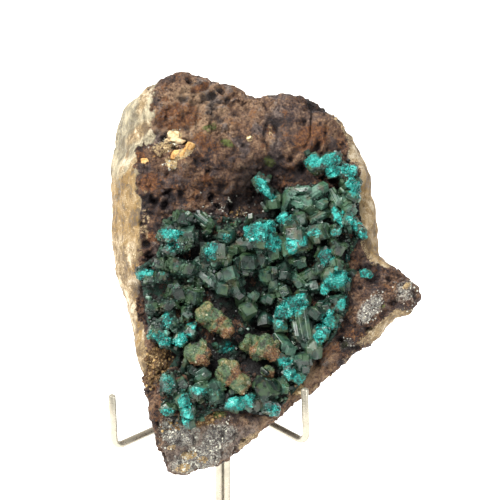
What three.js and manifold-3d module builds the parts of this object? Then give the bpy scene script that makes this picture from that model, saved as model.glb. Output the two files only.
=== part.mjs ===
// Dioptase on an iron-stained matrix, resting on a three-prong wire stand.
// Units are millimetres and degrees, +Z is up and the viewer of the specimen stands at -Y.

import * as THREE from "three";
import { ImprovedNoise } from "three/addons/math/ImprovedNoise.js";
import { mergeVertices } from "three/addons/utils/BufferGeometryUtils.js";
import Module from "manifold-3d";

const wasm = await Module();
wasm.setup();

// The stand: three bent wires brazed into one post
const WIRE_DIAMETER = 1.5;
const WIRE_SIDES = 10;
const BEND_RADIUS = 2.25;
const BEND_STEPS = 3;
const ARM_HEIGHT = 45;
const FOOT_LENGTH = 36;
const PRONG_HEIGHT = 12.1;
const POST_SPACING = 0.94;

// Each wire: turn of its arm from +X, its place in the bundle, arm length, and how far its tip leans out
const WIRES = {
  left: { armTurn: 222.5, postTurn: 210, armLength: 28, tipLean: 0.6 },
  right: { armTurn: 313, postTurn: 330, armLength: 23.4, tipLean: -0.6 },
  back: { armTurn: 90, postTurn: 90, armLength: 10.6, tipLean: 0.8 },
};

const COLLAR_RADIUS = 2.5;
const COLLAR_WAIST = 2.15;
const COLLAR_HEIGHT = 3.2;
const COLLAR_LEVEL = 39.5;
const COLLAR_SIDES = 12;

// The stone: u runs right, v up along the leaning face, w out of the face, from the head of the post
const FACE_LEAN = 28;
const GAP = 0.3;
const SEAT_ROOM = 0.7;
const SKIN = 1.4;
const PRISM_DEPTH = 7;
const FACE_OUT = 20;
const FACE_FALL = 0.2;
const EDGE_ROUND = 0.9;
const STONE_MIDDLE = [0, 25];
const RING_POINTS = 66;
const FACE_RINGS = 8;
const SIDE_RINGS = 3;
const RING_LOOSENESS = 0.4;
const BACK_RINGS = [0.97, 0.91, 0.82, 0.69, 0.54, 0.38, 0.2];

// Round the stone: u and v of the face's edge, u and v of the widest rim, and how far the rim lies behind
const OUTLINE = [
  [37.6, 20.6, 38.7, 20.8, 3.0],
  [36.0, 24.4, 36.7, 24.8, 3.0],
  [30.8, 28.6, 31.5, 28.4, 3.5],
  [28.7, 32.6, 30.8, 33.5, 5.0],
  [27.8, 38.5, 29.6, 39.5, 5.0],
  [27.2, 44.2, 28.3, 44.5, 4.5],
  [25.6, 49.4, 26.6, 50.0, 4.0],
  [22.8, 54.4, 23.2, 55.0, 3.0],
  [18.6, 58.4, 18.8, 59.0, 3.0],
  [12.5, 60.0, 12.6, 60.6, 3.0],
  [7.3, 59.6, 7.4, 60.2, 3.0],
  [2.9, 62.0, 2.9, 62.6, 3.0],
  [-2.2, 63.4, -2.2, 64.0, 3.0],
  [-8.2, 65.2, -8.6, 65.8, 3.0],
  [-12.2, 62.4, -13.4, 63.2, 5.0],
  [-14.3, 58.6, -18.5, 58.5, 9.0],
  [-14.4, 55.4, -21.0, 55.0, 11.0],
  [-17.6, 47.6, -22.2, 47.2, 11.0],
  [-17.8, 40.4, -21.9, 40.3, 11.0],
  [-17.0, 34.6, -22.3, 34.8, 12.0],
  [-16.6, 29.0, -21.8, 29.4, 12.0],
  [-17.3, 23.0, -20.2, 23.2, 9.0],
  [-17.5, 16.2, -18.5, 16.2, 6.0],
  [-15.8, 6.0, -16.2, 5.8, 3.0],
  [-14.2, -2.6, -14.6, -2.9, 3.0],
  [-11.4, -10.0, -11.8, -10.3, 3.0],
  [-9.3, -13.8, -9.9, -14.5, 2.5],
  [-5.0, -13.0, -5.3, -13.7, 2.5],
  [0.2, -11.0, 0.3, -11.8, 2.5],
  [6.0, -6.2, 6.6, -6.8, 2.5],
  [13.0, -0.2, 13.5, -0.9, 3.0],
  [18.9, 4.3, 19.4, 3.5, 3.0],
  [23.6, 8.7, 24.2, 7.8, 3.0],
  [28.2, 13.4, 29.1, 11.4, 4.0],
  [33.0, 17.3, 34.0, 15.8, 4.0],
];

// Broad forms of the face: u, v, half width, half height, rise
const FACE_FORMS = [
  [-5, 51, 14, 11, 2.6],
  [15, 54, 11, 8, 1.6],
  [6, 19, 16, 20, -2.8],
  [8, 38, 9, 5, -1.8],
  [-14, 44, 5, 12, 0.9],
  [29, 18, 8, 6, 1.0],
  [22, 8, 7, 5, 1.2],
  [-5, -13, 11, 7, -2.6],
];

// The back is a rougher break, thickest on the left
const THICKNESS = 19;
const THICKNESS_TURN = 0.2;
const BACK_FORMS = [
  [-8, 44, 12, 12, -2.2],
  [16, 40, 10, 14, -1.4],
  [10, 14, 9, 9, 1.6],
  [-10, 22, 8, 8, 1.2],
];

// Noise on the stone: feature size, height, layer of the noise field
const FACE_GRAIN = [
  [9.0, 1.6, 3.3],
  [4.3, 1.3, 8.7],
];
const BACK_GRAIN = [
  [10.0, 2.4, 14.2],
  [4.6, 1.6, 21.9],
];
const SIDE_GRAIN = [5.2, 0.9, 27.1];

// Where the crust of crystals covers the face, and the smaller ridge at its upper right
const CRUST_OUTLINE = [
  [28.2, 34.0],
  [27.2, 40.0],
  [25.0, 41.2],
  [19.0, 43.6],
  [12.6, 42.6],
  [9.5, 38.0],
  [3.5, 36.6],
  [-4.5, 37.6],
  [-9.0, 38.2],
  [-12.4, 35.4],
  [-13.0, 29.4],
  [-16.8, 26.8],
  [-16.2, 23.4],
  [-15.4, 18.0],
  [-14.6, 12.4],
  [-9.0, 9.4],
  [-12.6, 4.0],
  [-12.2, -2.4],
  [-6.8, -5.0],
  [-1.5, -1.8],
  [4.2, -2.0],
  [10.0, -3.2],
  [15.6, 3.4],
  [18.6, 8.4],
  [22.4, 13.0],
  [25.2, 18.2],
  [25.4, 24.4],
  [25.6, 29.0],
];
const RIDGE_OUTLINE = [
  [16.8, 46.4],
  [16.6, 49.2],
  [22.2, 49.6],
  [26.6, 46.8],
  [27.4, 42.0],
  [26.6, 39.0],
  [24.4, 39.6],
  [24.2, 44.4],
];
const SPRAY_OUTLINE = [
  [6.4, 45.2],
  [8.6, 44.8],
  [11.8, 39.4],
  [10.2, 38.6],
  [8.0, 40.2],
];
const FLECK_OUTLINE = [
  [27.4, 25.0],
  [28.2, 26.6],
  [30.2, 26.2],
  [29.6, 24.6],
];

// Crystals: u and v of the middle, radius, length, heading of the tip in the face, and lean from straight out
const RIDGE_CRYSTALS = [
  [18.1, 47.8, 1.8, 3.8, 150, 30],
  [20.1, 47.6, 1.7, 4.0, 80, 25],
  [22.0, 48.2, 1.9, 4.2, 60, 30],
  [22.2, 46.0, 1.6, 3.8, -70, 30],
  [25.4, 45.6, 1.8, 4.0, 20, 30],
  [26.0, 43.4, 1.8, 4.2, 0, 30],
  [25.8, 40.8, 1.7, 4.2, -20, 25],
  [27.0, 34.8, 1.1, 5.0, -52, 62],
];
const UPPER_CRYSTALS = [
  [13.2, 40.8, 1.1, 4.8, 65, 66],
  [15.7, 42.2, 0.8, 5.0, -5, 74],
  [18.7, 41.8, 1.2, 6.0, 33, 70],
  [22.7, 40.3, 1.1, 4.6, -62, 58],
  [19.7, 39.3, 1.1, 4.4, 0, 12],
  [16.7, 39.2, 1.3, 5.2, -24, 62],
  [19.7, 37.0, 1.0, 4.6, 25, 66],
  [22.7, 37.2, 1.0, 5.0, -60, 48],
  [25.2, 38.0, 1.4, 4.6, 60, 38],
  [15.3, 36.2, 1.6, 4.8, 120, 25],
  [15.1, 32.2, 2.6, 8.0, -80, 14],
  [18.6, 33.5, 1.8, 7.0, 30, 16],
  [20.6, 29.0, 1.9, 6.2, 160, 22],
  [22.6, 29.8, 1.6, 6.2, 60, 30],
  [22.3, 27.4, 1.7, 5.6, -50, 30],
  [22.9, 24.2, 2.3, 5.2, 0, 20],
  [20.5, 23.0, 1.0, 4.6, -95, 58],
];
const CENTRE_CRYSTALS = [
  [7.5, 33.0, 3.3, 8.6, 60, 24],
  [9.8, 30.1, 1.6, 6.8, -45, 36],
  [12.3, 26.2, 1.1, 5.8, -80, 36],
  [17.1, 25.0, 1.2, 4.8, 30, 62],
  [12.1, 22.0, 1.3, 4.6, -60, 30],
  [8.9, 24.9, 1.7, 5.2, 100, 22],
  [8.1, 28.6, 1.7, 5.2, -90, 40],
  [4.9, 27.8, 1.9, 6.2, 230, 30],
  [0.7, 32.7, 1.6, 4.8, 70, 30],
  [-1.5, 29.0, 2.6, 8.2, 100, 38],
  [1.5, 24.8, 2.0, 6.2, 80, 45],
  [-2.6, 26.0, 1.2, 7.2, -38, 66],
  [-3.4, 24.6, 1.3, 6.6, -38, 64],
  [-6.7, 26.2, 1.7, 5.2, 110, 30],
  [-0.1, 22.8, 1.6, 5.2, -60, 45],
  [2.6, 22.6, 1.4, 5.0, -45, 36],
  [5.1, 18.2, 1.9, 5.2, -100, 25],
  [8.5, 16.2, 1.7, 4.4, -60, 20],
];
const LEFT_CRYSTALS = [
  [-3.3, 36.0, 1.1, 4.4, -40, 62],
  [-8.1, 36.6, 1.7, 4.2, 90, 30],
  [-6.9, 33.2, 1.9, 5.0, 40, 25],
  [-8.5, 31.2, 1.8, 4.6, -90, 25],
  [-10.9, 33.6, 1.8, 4.6, 160, 25],
  [-15.9, 25.6, 1.2, 3.6, 180, 30],
  [-14.5, 24.6, 1.3, 3.8, -120, 25],
  [-9.3, 27.2, 1.6, 4.6, 80, 25],
  [-9.1, 21.4, 1.7, 4.6, 30, 36],
  [-5.7, 20.8, 1.8, 4.8, 60, 25],
  [-13.9, 18.8, 1.4, 3.8, 180, 30],
];
const LOWER_LEFT_CRYSTALS = [
  [-10.9, 16.0, 1.7, 4.2, 100, 25],
  [-12.9, 13.4, 1.9, 4.2, 190, 25],
  [-8.3, 12.4, 1.7, 4.2, -90, 30],
  [-7.4, 7.2, 0.8, 4.2, 75, 55],
  [-3.9, 5.2, 1.7, 5.0, 80, 45],
  [-10.6, 3.6, 1.9, 4.4, 120, 25],
  [-7.9, 0.6, 1.8, 4.6, -60, 25],
  [-6.7, -3.6, 1.3, 4.6, -80, 50],
  [-10.9, -1.4, 1.3, 3.4, 220, 30],
  [-4.7, 2.2, 1.7, 4.2, 20, 25],
  [-1.3, 1.6, 2.0, 4.6, -60, 30],
  [2.1, -0.4, 1.8, 4.8, -90, 32],
  [5.2, 0.2, 1.8, 5.0, -30, 36],
];
const LOWER_RIGHT_CRYSTALS = [
  [14.1, 19.0, 2.6, 5.2, 90, 15],
  [15.9, 20.2, 1.9, 4.8, 40, 25],
  [16.9, 13.8, 1.4, 9.6, -78, 70],
  [18.1, 10.6, 1.6, 5.6, -75, 52],
  [18.5, 17.6, 1.4, 5.8, 0, 18],
  [20.5, 18.4, 1.7, 4.6, 60, 25],
  [23.2, 19.6, 1.6, 3.8, 20, 30],
  [19.7, 13.8, 1.6, 4.6, -40, 30],
  [12.9, 11.0, 1.3, 5.6, -55, 58],
  [11.9, 8.2, 1.6, 4.6, 160, 30],
  [13.4, 5.9, 1.4, 4.4, -120, 25],
  [15.9, 7.8, 1.9, 4.8, 20, 30],
  [8.7, 2.4, 2.6, 6.2, 150, 28],
  [9.9, -1.2, 1.6, 4.2, -60, 36],
];
const SPRAY_CRYSTALS = [
  [7.5, 44.1, 1.2, 3.4, 140, 30],
  [8.7, 42.3, 1.1, 4.6, -55, 58],
  [10.2, 39.8, 1.4, 4.4, -60, 40],
];
const FLECK_CRYSTALS = [
  [28.4, 25.6, 1.0, 2.6, 150, 25],
  [29.2, 25.4, 0.7, 2.2, -20, 30],
];

// Iron-stained knobs on the crust: u, v, radius and how high the middle stands above the face
const KNOBS = [
  [-3.4, 17.6, 2.1, 3.0],
  [-1.4, 16.2, 2.3, 3.4],
  [0.6, 14.6, 1.9, 3.0],
  [-4.7, 9.8, 2.4, 2.8],
  [8.8, 10.6, 2.8, 3.2],
  [5.6, 11.2, 2.1, 2.4],
  [1.1, 5.9, 2.5, 3.4],
  [3.6, 3.4, 2.1, 3.2],
  [9.0, 6.0, 1.3, 1.7],
];
const KNOB_DETAIL = 1;
const KNOB_GRAIN = [1.7, 0.22, 33.5];

// A crystal's rhombohedral tip: drop to its upper shoulders, as a share of the radius
const TIP_STEP = 0.62;
const CRYSTAL_SIDES = 6;

// How high a crystal stands off the face: shares of its length when upright and of its radius when lying
const STANDING_SHARE = 0.4;
const LYING_SHARE = 0.7;

const noise = new ImprovedNoise();
const radians = THREE.MathUtils.degToRad;
const mix = THREE.MathUtils.lerp;

function grain(u, v, [size, height, layer]) {
  return height * noise.noise(u / size, v / size, layer);
}

function scatter(a, b) {
  const wave = Math.sin(a * 12.9898 + b * 78.233) * 43758.5453;
  return wave - Math.floor(wave);
}

function forms(u, v, list) {
  return list.reduce((sum, [cu, cv, ru, rv, rise]) => {
    const spread = ((u - cu) / ru) ** 2 + ((v - cv) / rv) ** 2;
    return sum + rise * Math.exp(-spread);
  }, 0);
}

function faceHeight(u, v) {
  const roughness = FACE_GRAIN.reduce((sum, layer) => sum + grain(u, v, layer), 0);
  return FACE_OUT - FACE_FALL * v + forms(u, v, FACE_FORMS) + roughness;
}

// The lowest w that keeps the stone above the arms, or between the two front ones
function armClearance(u, v) {
  const room = WIRE_DIAMETER / 2 + SEAT_ROOM;
  const out = Math.sin(radians(FACE_LEAN));
  const up = Math.cos(radians(FACE_LEAN));
  const above = (room - up * v) / out;
  const beside = [WIRES.left, WIRES.right].map(({ armTurn }, i) => {
    const hand = i === 0 ? 1 : -1;
    const across = -hand * Math.sin(radians(armTurn));
    const ahead = hand * Math.cos(radians(armTurn));
    return (room - across * u - ahead * out * v) / (-ahead * up);
  });
  return Math.min(above, Math.max(...beside));
}

function backHeight(u, v) {
  const roughness = BACK_GRAIN.reduce((sum, layer) => sum + grain(u, v, layer), 0);
  const plain = FACE_OUT - FACE_FALL * v - THICKNESS + THICKNESS_TURN * u;
  return Math.max(plain + forms(u, v, BACK_FORMS) + roughness, armClearance(u, v));
}

// A closed skin over a stack of rings, each walked the same way round; a ring of one point is a pole
function skinOf(rings) {
  const positions = [];
  const index = [];
  let start = 0;
  rings.forEach((ring, k) => {
    ring.forEach((p) => positions.push(p.x, p.y, p.z));
    const next = rings[k + 1];
    if (next) {
      stitch(index, start, ring.length, start + ring.length, next.length);
    }
    start += ring.length;
  });
  const geometry = new THREE.BufferGeometry();
  geometry.setAttribute("position", new THREE.Float32BufferAttribute(positions, 3));
  geometry.setIndex(index);
  return geometry;
}

function stitch(index, inner, innerCount, outer, outerCount) {
  const innerSteps = innerCount === 1 ? 0 : innerCount;
  const outerSteps = outerCount === 1 ? 0 : outerCount;
  let i = 0;
  let j = 0;
  while (i < innerSteps || j < outerSteps) {
    const a = inner + (i % innerCount);
    const b = outer + (j % outerCount);
    const innerNext = i < innerSteps ? (i + 1) / innerSteps : Infinity;
    const outerNext = j < outerSteps ? (j + 1) / outerSteps : Infinity;
    if (innerNext <= outerNext) {
      i += 1;
      index.push(a, b, inner + (i % innerCount));
    } else {
      j += 1;
      index.push(a, b, outer + (j % outerCount));
    }
  }
}

const edgePoints = OUTLINE.map(([u, v]) => new THREE.Vector3(u, v, 0));
const rimPoints = OUTLINE.map(([, , u, v, drop]) => new THREE.Vector3(u, v, drop));
const edgeCurve = new THREE.CatmullRomCurve3(edgePoints, true);
const rimCurve = new THREE.CatmullRomCurve3(rimPoints, true);

function ringSteps(share) {
  const count = Math.max(5, Math.round(RING_POINTS * share));
  return Array.from({ length: count }, (_, i) => i / count);
}

function towardsMiddle(point, share) {
  return [mix(STONE_MIDDLE[0], point.x, share), mix(STONE_MIDDLE[1], point.y, share)];
}

function faceRing(k, grow) {
  const share = k / FACE_RINGS;
  return ringSteps(share).map((t, i) => {
    const loose = k < FACE_RINGS ? RING_LOOSENESS : 0;
    const turn = t + (loose * (scatter(i, k) - 0.5)) / (RING_POINTS * share);
    const reach = share + (loose * (scatter(i, k + 50) - 0.5)) / FACE_RINGS;
    const [u, v] = towardsMiddle(edgeCurve.getPoint(((turn % 1) + 1) % 1), reach);
    return new THREE.Vector3(u, v, faceHeight(u, v) - EDGE_ROUND * reach ** 12 + grow);
  });
}

function rimPoint(t, share, grow) {
  const edge = edgeCurve.getPoint(t);
  const rim = rimCurve.getPoint(t);
  const out = rim.clone().setZ(0).sub(new THREE.Vector3(...STONE_MIDDLE, 0)).normalize();
  const bulge = grain(rim.x + rim.y, rim.z * share, SIDE_GRAIN) * Math.sin(Math.PI * share);
  const spread = grow + bulge;
  const u = mix(edge.x, rim.x, Math.sqrt(share)) + out.x * spread;
  const v = mix(edge.y, rim.y, Math.sqrt(share)) + out.y * spread;
  return new THREE.Vector3(u, v, faceHeight(edge.x, edge.y) - EDGE_ROUND - rim.z * share);
}

function sideRing(k, grow) {
  return ringSteps(1).map((t) => rimPoint(t, k / SIDE_RINGS, grow));
}

function backRing(share, grow) {
  return ringSteps(share).map((t) => {
    const rim = rimPoint(t, 1, grow);
    const shoulder = 0.6 + 0.02 * rimCurve.getPoint(t).z;
    const [u, v] = towardsMiddle(rim, share);
    const rise = Math.max(0, (share - shoulder) / (1 - shoulder)) ** 1.7;
    return new THREE.Vector3(u, v, mix(backHeight(u, v), rim.z, rise) - grow);
  });
}

function pole(w) {
  return [new THREE.Vector3(...STONE_MIDDLE, w)];
}

function stoneGeometry(grow) {
  const rings = [pole(faceHeight(...STONE_MIDDLE) + grow)];
  for (let k = 1; k <= FACE_RINGS; k += 1) {
    rings.push(faceRing(k, grow));
  }
  for (let k = 1; k <= SIDE_RINGS; k += 1) {
    rings.push(sideRing(k, grow));
  }
  BACK_RINGS.forEach((share) => rings.push(backRing(share, grow)));
  rings.push(pole(backHeight(...STONE_MIDDLE) - grow));
  return skinOf(rings);
}

// Solids for cutting and joining
function solidOf(geometry) {
  const bare = geometry.clone();
  bare.deleteAttribute("normal");
  bare.deleteAttribute("uv");
  const merged = mergeVertices(bare, 1e-4);
  const mesh = new wasm.Mesh({
    numProp: 3,
    vertProperties: merged.attributes.position.array,
    triVerts: new Uint32Array(merged.index.array),
  });
  return new wasm.Manifold(mesh);
}

function geometryOf(solid) {
  const mesh = solid.getMesh();
  const geometry = new THREE.BufferGeometry();
  geometry.setAttribute("position", new THREE.BufferAttribute(mesh.vertProperties, 3));
  geometry.setIndex(new THREE.BufferAttribute(mesh.triVerts, 1));
  return geometry;
}

function joined(solids) {
  return solids.reduce((sum, solid) => sum.add(solid));
}

function largestBody(solid) {
  return solid.decompose().reduce((best, body) => (body.volume() > best.volume() ? body : best));
}

const stoneWithGap = solidOf(stoneGeometry(GAP));
const stoneWithSkin = solidOf(stoneGeometry(SKIN));

// A hexagonal prism along +Z with a three-faced tip, its middle at the origin
function crystalGeometry(radius, length) {
  const corner = (i, w) => {
    const turn = (i * 2 * Math.PI) / CRYSTAL_SIDES;
    return new THREE.Vector3(radius * Math.cos(turn), radius * Math.sin(turn), w);
  };
  const top = length / 2;
  const sides = Array.from({ length: CRYSTAL_SIDES }, (_, i) => i);
  const shoulders = sides.map((i) => corner(i, top - TIP_STEP * radius * (1 + (i % 2))));
  const roots = sides.map((i) => corner(i, -length / 2));
  return skinOf([[new THREE.Vector3(0, 0, top)], shoulders, roots, [new THREE.Vector3(0, 0, -length / 2)]]);
}

function crystalSolid([u, v, radius, length, heading, lean]) {
  const spin = scatter(u, v) * Math.PI;
  const standing = STANDING_SHARE * length * Math.cos(radians(lean));
  const lying = LYING_SHARE * radius * Math.sin(radians(lean));
  const placed = crystalGeometry(radius, length)
    .rotateZ(spin)
    .rotateY(radians(lean))
    .rotateZ(radians(heading))
    .translate(u, v, faceHeight(u, v) + standing + lying);
  return solidOf(placed);
}

// A skin over the face inside an outline, cut from a prism that falls away as the face does
function skinPatch(outline) {
  const shape = new THREE.Shape(outline.map(([u, v]) => new THREE.Vector2(u, v)));
  const prism = new THREE.ExtrudeGeometry(shape, { depth: 2 * PRISM_DEPTH, bevelEnabled: false });
  const low = FACE_OUT - PRISM_DEPTH;
  const fall = new THREE.Matrix4().set(1, 0, 0, 0, 0, 1, 0, 0, 0, -FACE_FALL, 1, low, 0, 0, 0, 1);
  return solidOf(prism.applyMatrix4(fall)).intersect(stoneWithSkin);
}

function crustSolid(outlines, growths) {
  const grown = joined([...outlines.map(skinPatch), ...growths]);
  return largestBody(grown.subtract(stoneWithGap));
}

// A roughened ball
function knobSolid([u, v, radius, height]) {
  const ball = new THREE.IcosahedronGeometry(radius, KNOB_DETAIL);
  const points = ball.attributes.position;
  for (let i = 0; i < points.count; i += 1) {
    const p = new THREE.Vector3().fromBufferAttribute(points, i);
    const swell = 1 + grain(p.x + u, p.y + p.z + v, KNOB_GRAIN);
    points.setXYZ(i, p.x * swell, p.y * swell, p.z * swell);
  }
  return solidOf(ball.translate(u, v, faceHeight(u, v) + height));
}

// A wire's centre line, sampled at its bends only
class BentWire extends THREE.Curve {
  constructor(points) {
    super();
    this.points = points;
  }

  getPointAt(share) {
    return this.points[Math.round(share * (this.points.length - 1))].clone();
  }

  getTangentAt(share) {
    const i = Math.round(share * (this.points.length - 1));
    const before = this.points[Math.max(0, i - 1)];
    const after = this.points[Math.min(this.points.length - 1, i + 1)];
    return after.clone().sub(before).normalize();
  }
}

// A quarter bend in the wire's own plane: reach from the post, height, and the two headings
function bend(reach, height, from, to) {
  return Array.from({ length: BEND_STEPS + 1 }, (_, i) => {
    const turn = radians(mix(from, to, i / BEND_STEPS));
    return [reach + BEND_RADIUS * Math.cos(turn), height + BEND_RADIUS * Math.sin(turn)];
  });
}

function wireRoute({ armLength, tipLean }) {
  const floor = WIRE_DIAMETER / 2;
  return [
    [FOOT_LENGTH, floor],
    ...bend(BEND_RADIUS, floor + BEND_RADIUS, 270, 180),
    ...bend(BEND_RADIUS, ARM_HEIGHT - BEND_RADIUS, 180, 90),
    ...bend(armLength - BEND_RADIUS, ARM_HEIGHT + BEND_RADIUS, 270, 360),
    [armLength + tipLean, ARM_HEIGHT + PRONG_HEIGHT],
  ];
}

function wireSection(grow) {
  const corner = (WIRE_DIAMETER / 2 + grow) / Math.cos(Math.PI / WIRE_SIDES);
  const corners = Array.from({ length: WIRE_SIDES }, (_, i) => {
    const turn = ((i + 0.5) * 2 * Math.PI) / WIRE_SIDES;
    return new THREE.Vector2(corner * Math.cos(turn), corner * Math.sin(turn));
  });
  return new THREE.Shape(corners);
}

function wireGeometry(wire, grow) {
  const turn = radians(wire.armTurn);
  const postX = POST_SPACING * Math.cos(radians(wire.postTurn));
  const postY = POST_SPACING * Math.sin(radians(wire.postTurn));
  const points = wireRoute(wire).map(([reach, height]) => {
    return new THREE.Vector3(postX + reach * Math.cos(turn), postY + reach * Math.sin(turn), height);
  });
  return new THREE.ExtrudeGeometry(wireSection(grow), {
    steps: points.length - 1,
    extrudePath: new BentWire(points),
    bevelEnabled: false,
  });
}

// The wires as the stone meets them, for the shallow seats that its weight has worn
function wiresInStoneFrame() {
  const turn = -radians(90 - FACE_LEAN);
  const wires = Object.values(WIRES).map((wire) => {
    return solidOf(wireGeometry(wire, GAP).translate(0, 0, -ARM_HEIGHT).rotateX(turn));
  });
  return joined(wires);
}

// A brazed collar: a barrel round the post with room for the three wires
function collarSolid() {
  const half = COLLAR_HEIGHT / 2;
  const profile = [
    [0, -half],
    [COLLAR_WAIST, -half],
    [COLLAR_RADIUS, -half / 2],
    [COLLAR_RADIUS, half / 2],
    [COLLAR_WAIST, half],
    [0, half],
  ].map(([x, y]) => new THREE.Vector2(x, y));
  const barrel = new THREE.LatheGeometry(profile, COLLAR_SIDES).rotateX(Math.PI / 2);
  const wires = Object.values(WIRES).map((wire) => solidOf(wireGeometry(wire, GAP)));
  return solidOf(barrel.translate(0, 0, COLLAR_LEVEL)).subtract(joined(wires));
}

// Materials
function matrixMaterial() {
  return new THREE.MeshStandardMaterial({ color: 0x5b4336, roughness: 0.9, metalness: 0 });
}

function dioptaseMaterial() {
  return new THREE.MeshStandardMaterial({ color: 0x1f7f6b, roughness: 0.3, metalness: 0 });
}

function wireMaterial() {
  return new THREE.MeshStandardMaterial({ color: 0xcfc8b8, roughness: 0.22, metalness: 1 });
}

function brazeMaterial() {
  return new THREE.MeshStandardMaterial({ color: 0xb9b09a, roughness: 0.4, metalness: 1 });
}

function namedMesh(name, geometry, material) {
  const mesh = new THREE.Mesh(geometry, material);
  mesh.name = name;
  return mesh;
}

// The stone with all that grew on it
function specimen() {
  const group = new THREE.Group();
  const crystals = [
    ...RIDGE_CRYSTALS,
    ...UPPER_CRYSTALS,
    ...CENTRE_CRYSTALS,
    ...LEFT_CRYSTALS,
    ...LOWER_LEFT_CRYSTALS,
    ...LOWER_RIGHT_CRYSTALS,
    ...SPRAY_CRYSTALS,
  ];
  const growths = [...crystals.map(crystalSolid), ...KNOBS.map(knobSolid)];
  const crust = crustSolid([CRUST_OUTLINE, RIDGE_OUTLINE, SPRAY_OUTLINE], growths);
  const fleck = crustSolid([FLECK_OUTLINE], FLECK_CRYSTALS.map(crystalSolid));
  const stone = solidOf(stoneGeometry(0)).subtract(wiresInStoneFrame());
  group.add(namedMesh("matrix_rock", geometryOf(stone), matrixMaterial()));
  group.add(namedMesh("dioptase_crust", geometryOf(crust), dioptaseMaterial()));
  group.add(namedMesh("dioptase_fleck", geometryOf(fleck), dioptaseMaterial()));
  group.rotation.x = radians(90 - FACE_LEAN);
  group.position.z = ARM_HEIGHT;
  return group;
}

function wireStand() {
  const group = new THREE.Group();
  Object.entries(WIRES).forEach(([name, wire]) => {
    group.add(namedMesh("stand_wire_" + name, wireGeometry(wire, 0), wireMaterial()));
  });
  group.add(namedMesh("stand_collar", geometryOf(collarSolid()), brazeMaterial()));
  return group;
}

// The origin lies on the floor under the middle of the whole
function centred(group) {
  const middle = new THREE.Box3().setFromObject(group, true).getCenter(new THREE.Vector3());
  group.position.set(-middle.x, -middle.y, 0);
  return group;
}

const group = new THREE.Group();
group.add(wireStand(), specimen());

export default centred(group);
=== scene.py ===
"""Dioptase on an iron-stained matrix, leaning back on a three-prong wire stand.

The stone has its own axes: u runs right, v up its leaning face and w out of the face, from the head of the
stand's post. Sizes in the classes are millimetres on those axes. Meshes are in metres in the row's frame.
"""

import itertools
import logging
import math
from contextlib import contextmanager
from dataclasses import dataclass, field
from enum import Enum
from functools import partial
from typing import Callable, Iterable, Iterator, Sequence

import bmesh
import bpy
import numpy as np
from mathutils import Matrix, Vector
from mathutils.bvhtree import BVHTree


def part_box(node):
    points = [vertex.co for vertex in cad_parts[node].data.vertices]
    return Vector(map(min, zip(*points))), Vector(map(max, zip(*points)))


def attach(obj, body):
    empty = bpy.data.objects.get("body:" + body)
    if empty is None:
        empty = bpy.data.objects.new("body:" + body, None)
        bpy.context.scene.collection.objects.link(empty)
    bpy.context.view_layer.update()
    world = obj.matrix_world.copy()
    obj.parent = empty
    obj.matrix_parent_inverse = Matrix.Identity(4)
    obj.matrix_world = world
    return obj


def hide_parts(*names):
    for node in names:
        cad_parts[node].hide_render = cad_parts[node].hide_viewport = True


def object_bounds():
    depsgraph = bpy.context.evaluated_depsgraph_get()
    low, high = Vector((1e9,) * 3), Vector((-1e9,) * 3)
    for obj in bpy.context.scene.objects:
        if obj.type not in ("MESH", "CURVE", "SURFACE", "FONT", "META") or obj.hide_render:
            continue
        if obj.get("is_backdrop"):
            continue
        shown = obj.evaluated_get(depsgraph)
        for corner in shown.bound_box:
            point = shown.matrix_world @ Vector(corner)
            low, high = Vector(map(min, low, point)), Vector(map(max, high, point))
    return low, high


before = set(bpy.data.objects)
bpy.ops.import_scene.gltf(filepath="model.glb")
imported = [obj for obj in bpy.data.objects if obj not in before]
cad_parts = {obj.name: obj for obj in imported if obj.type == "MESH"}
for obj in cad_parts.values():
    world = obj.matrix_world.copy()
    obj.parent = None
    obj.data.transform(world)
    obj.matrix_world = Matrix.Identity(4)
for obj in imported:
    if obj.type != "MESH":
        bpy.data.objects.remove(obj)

log = logging.getLogger("specimen")

MM = 0.001
BODY = "root"
HUB_HEIGHT = 45.0
# Above everything on the face, where rays down to the rock start
FACE_TOP = 60.0
# What the camera looks at: how far right of the post's axis and behind it, and how high
VIEW_OFFSET = (5.5, 3.6, 77.3)

Array = np.ndarray
Mesh = bpy.types.Mesh
Object = bpy.types.Object
Material = bpy.types.Material
Socket = bpy.types.NodeSocket
Pair = tuple[float, float]
Triple = tuple[float, float, float]
Color = Triple
Shaper = Callable[[Array], Array]


# Named choices


class Stain(Enum):
    """What marks the rock's surface, and rust the knobs too, with painted light and shade from the rock's
    height and in its hollows. Each is an attribute on their vertices.
    """

    RUST = "rust"
    CREAM = "cream"
    OCHRE = "ochre"
    MOSS = "moss"
    ASH = "ash"
    PLUM = "plum"
    CALCITE = "calcite"
    IRON = "iron"
    SMOKE = "smoke"
    TAN = "tan"
    PALE_PATCHES = "dust"
    HEIGHT_SHADE = "relief"
    SHADE = "shade"


class Growth(Enum):
    """What the colour of crystals, knobs and grains depends on, the hollow being painted shade. Each is an
    attribute on their meshes.
    """

    BLOOM = "bloom"
    TONE = "tone"
    HOLLOW = "hollow"
    SEAM = "seam"


class Spread(Enum):
    """Where small bodies stand. Each is an attribute on the surface that carries them."""

    CRUMBS = "crumbs"
    GRIT = "grit"
    FLAKES = "flakes"
    SPONGE = "sponge"
    DRUSE = "druse"
    BLOCKS = "blocks"
    SPARKLE = "sparkle"


class Wire(Enum):
    """The stand's three wires."""

    LEFT = "left"
    RIGHT = "right"
    BACK = "back"


class Group(Enum):
    """The parts of the crust that the larger crystals stand in."""

    RIDGE = "ridge"
    UPPER = "upper"
    CENTRE = "centre"
    LEFT = "left"
    LOWER_LEFT = "lower_left"
    LOWER_RIGHT = "lower_right"
    SPRAY = "spray"
    FLECK = "fleck"


# Places on the stone


@dataclass(frozen=True)
class Patch:
    """An oval on the face: its middle, half length, half width, heading in degrees and strength."""

    u: float
    v: float
    half_length: float
    half_width: float
    turn: float = 0.0
    strength: float = 1.0


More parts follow.
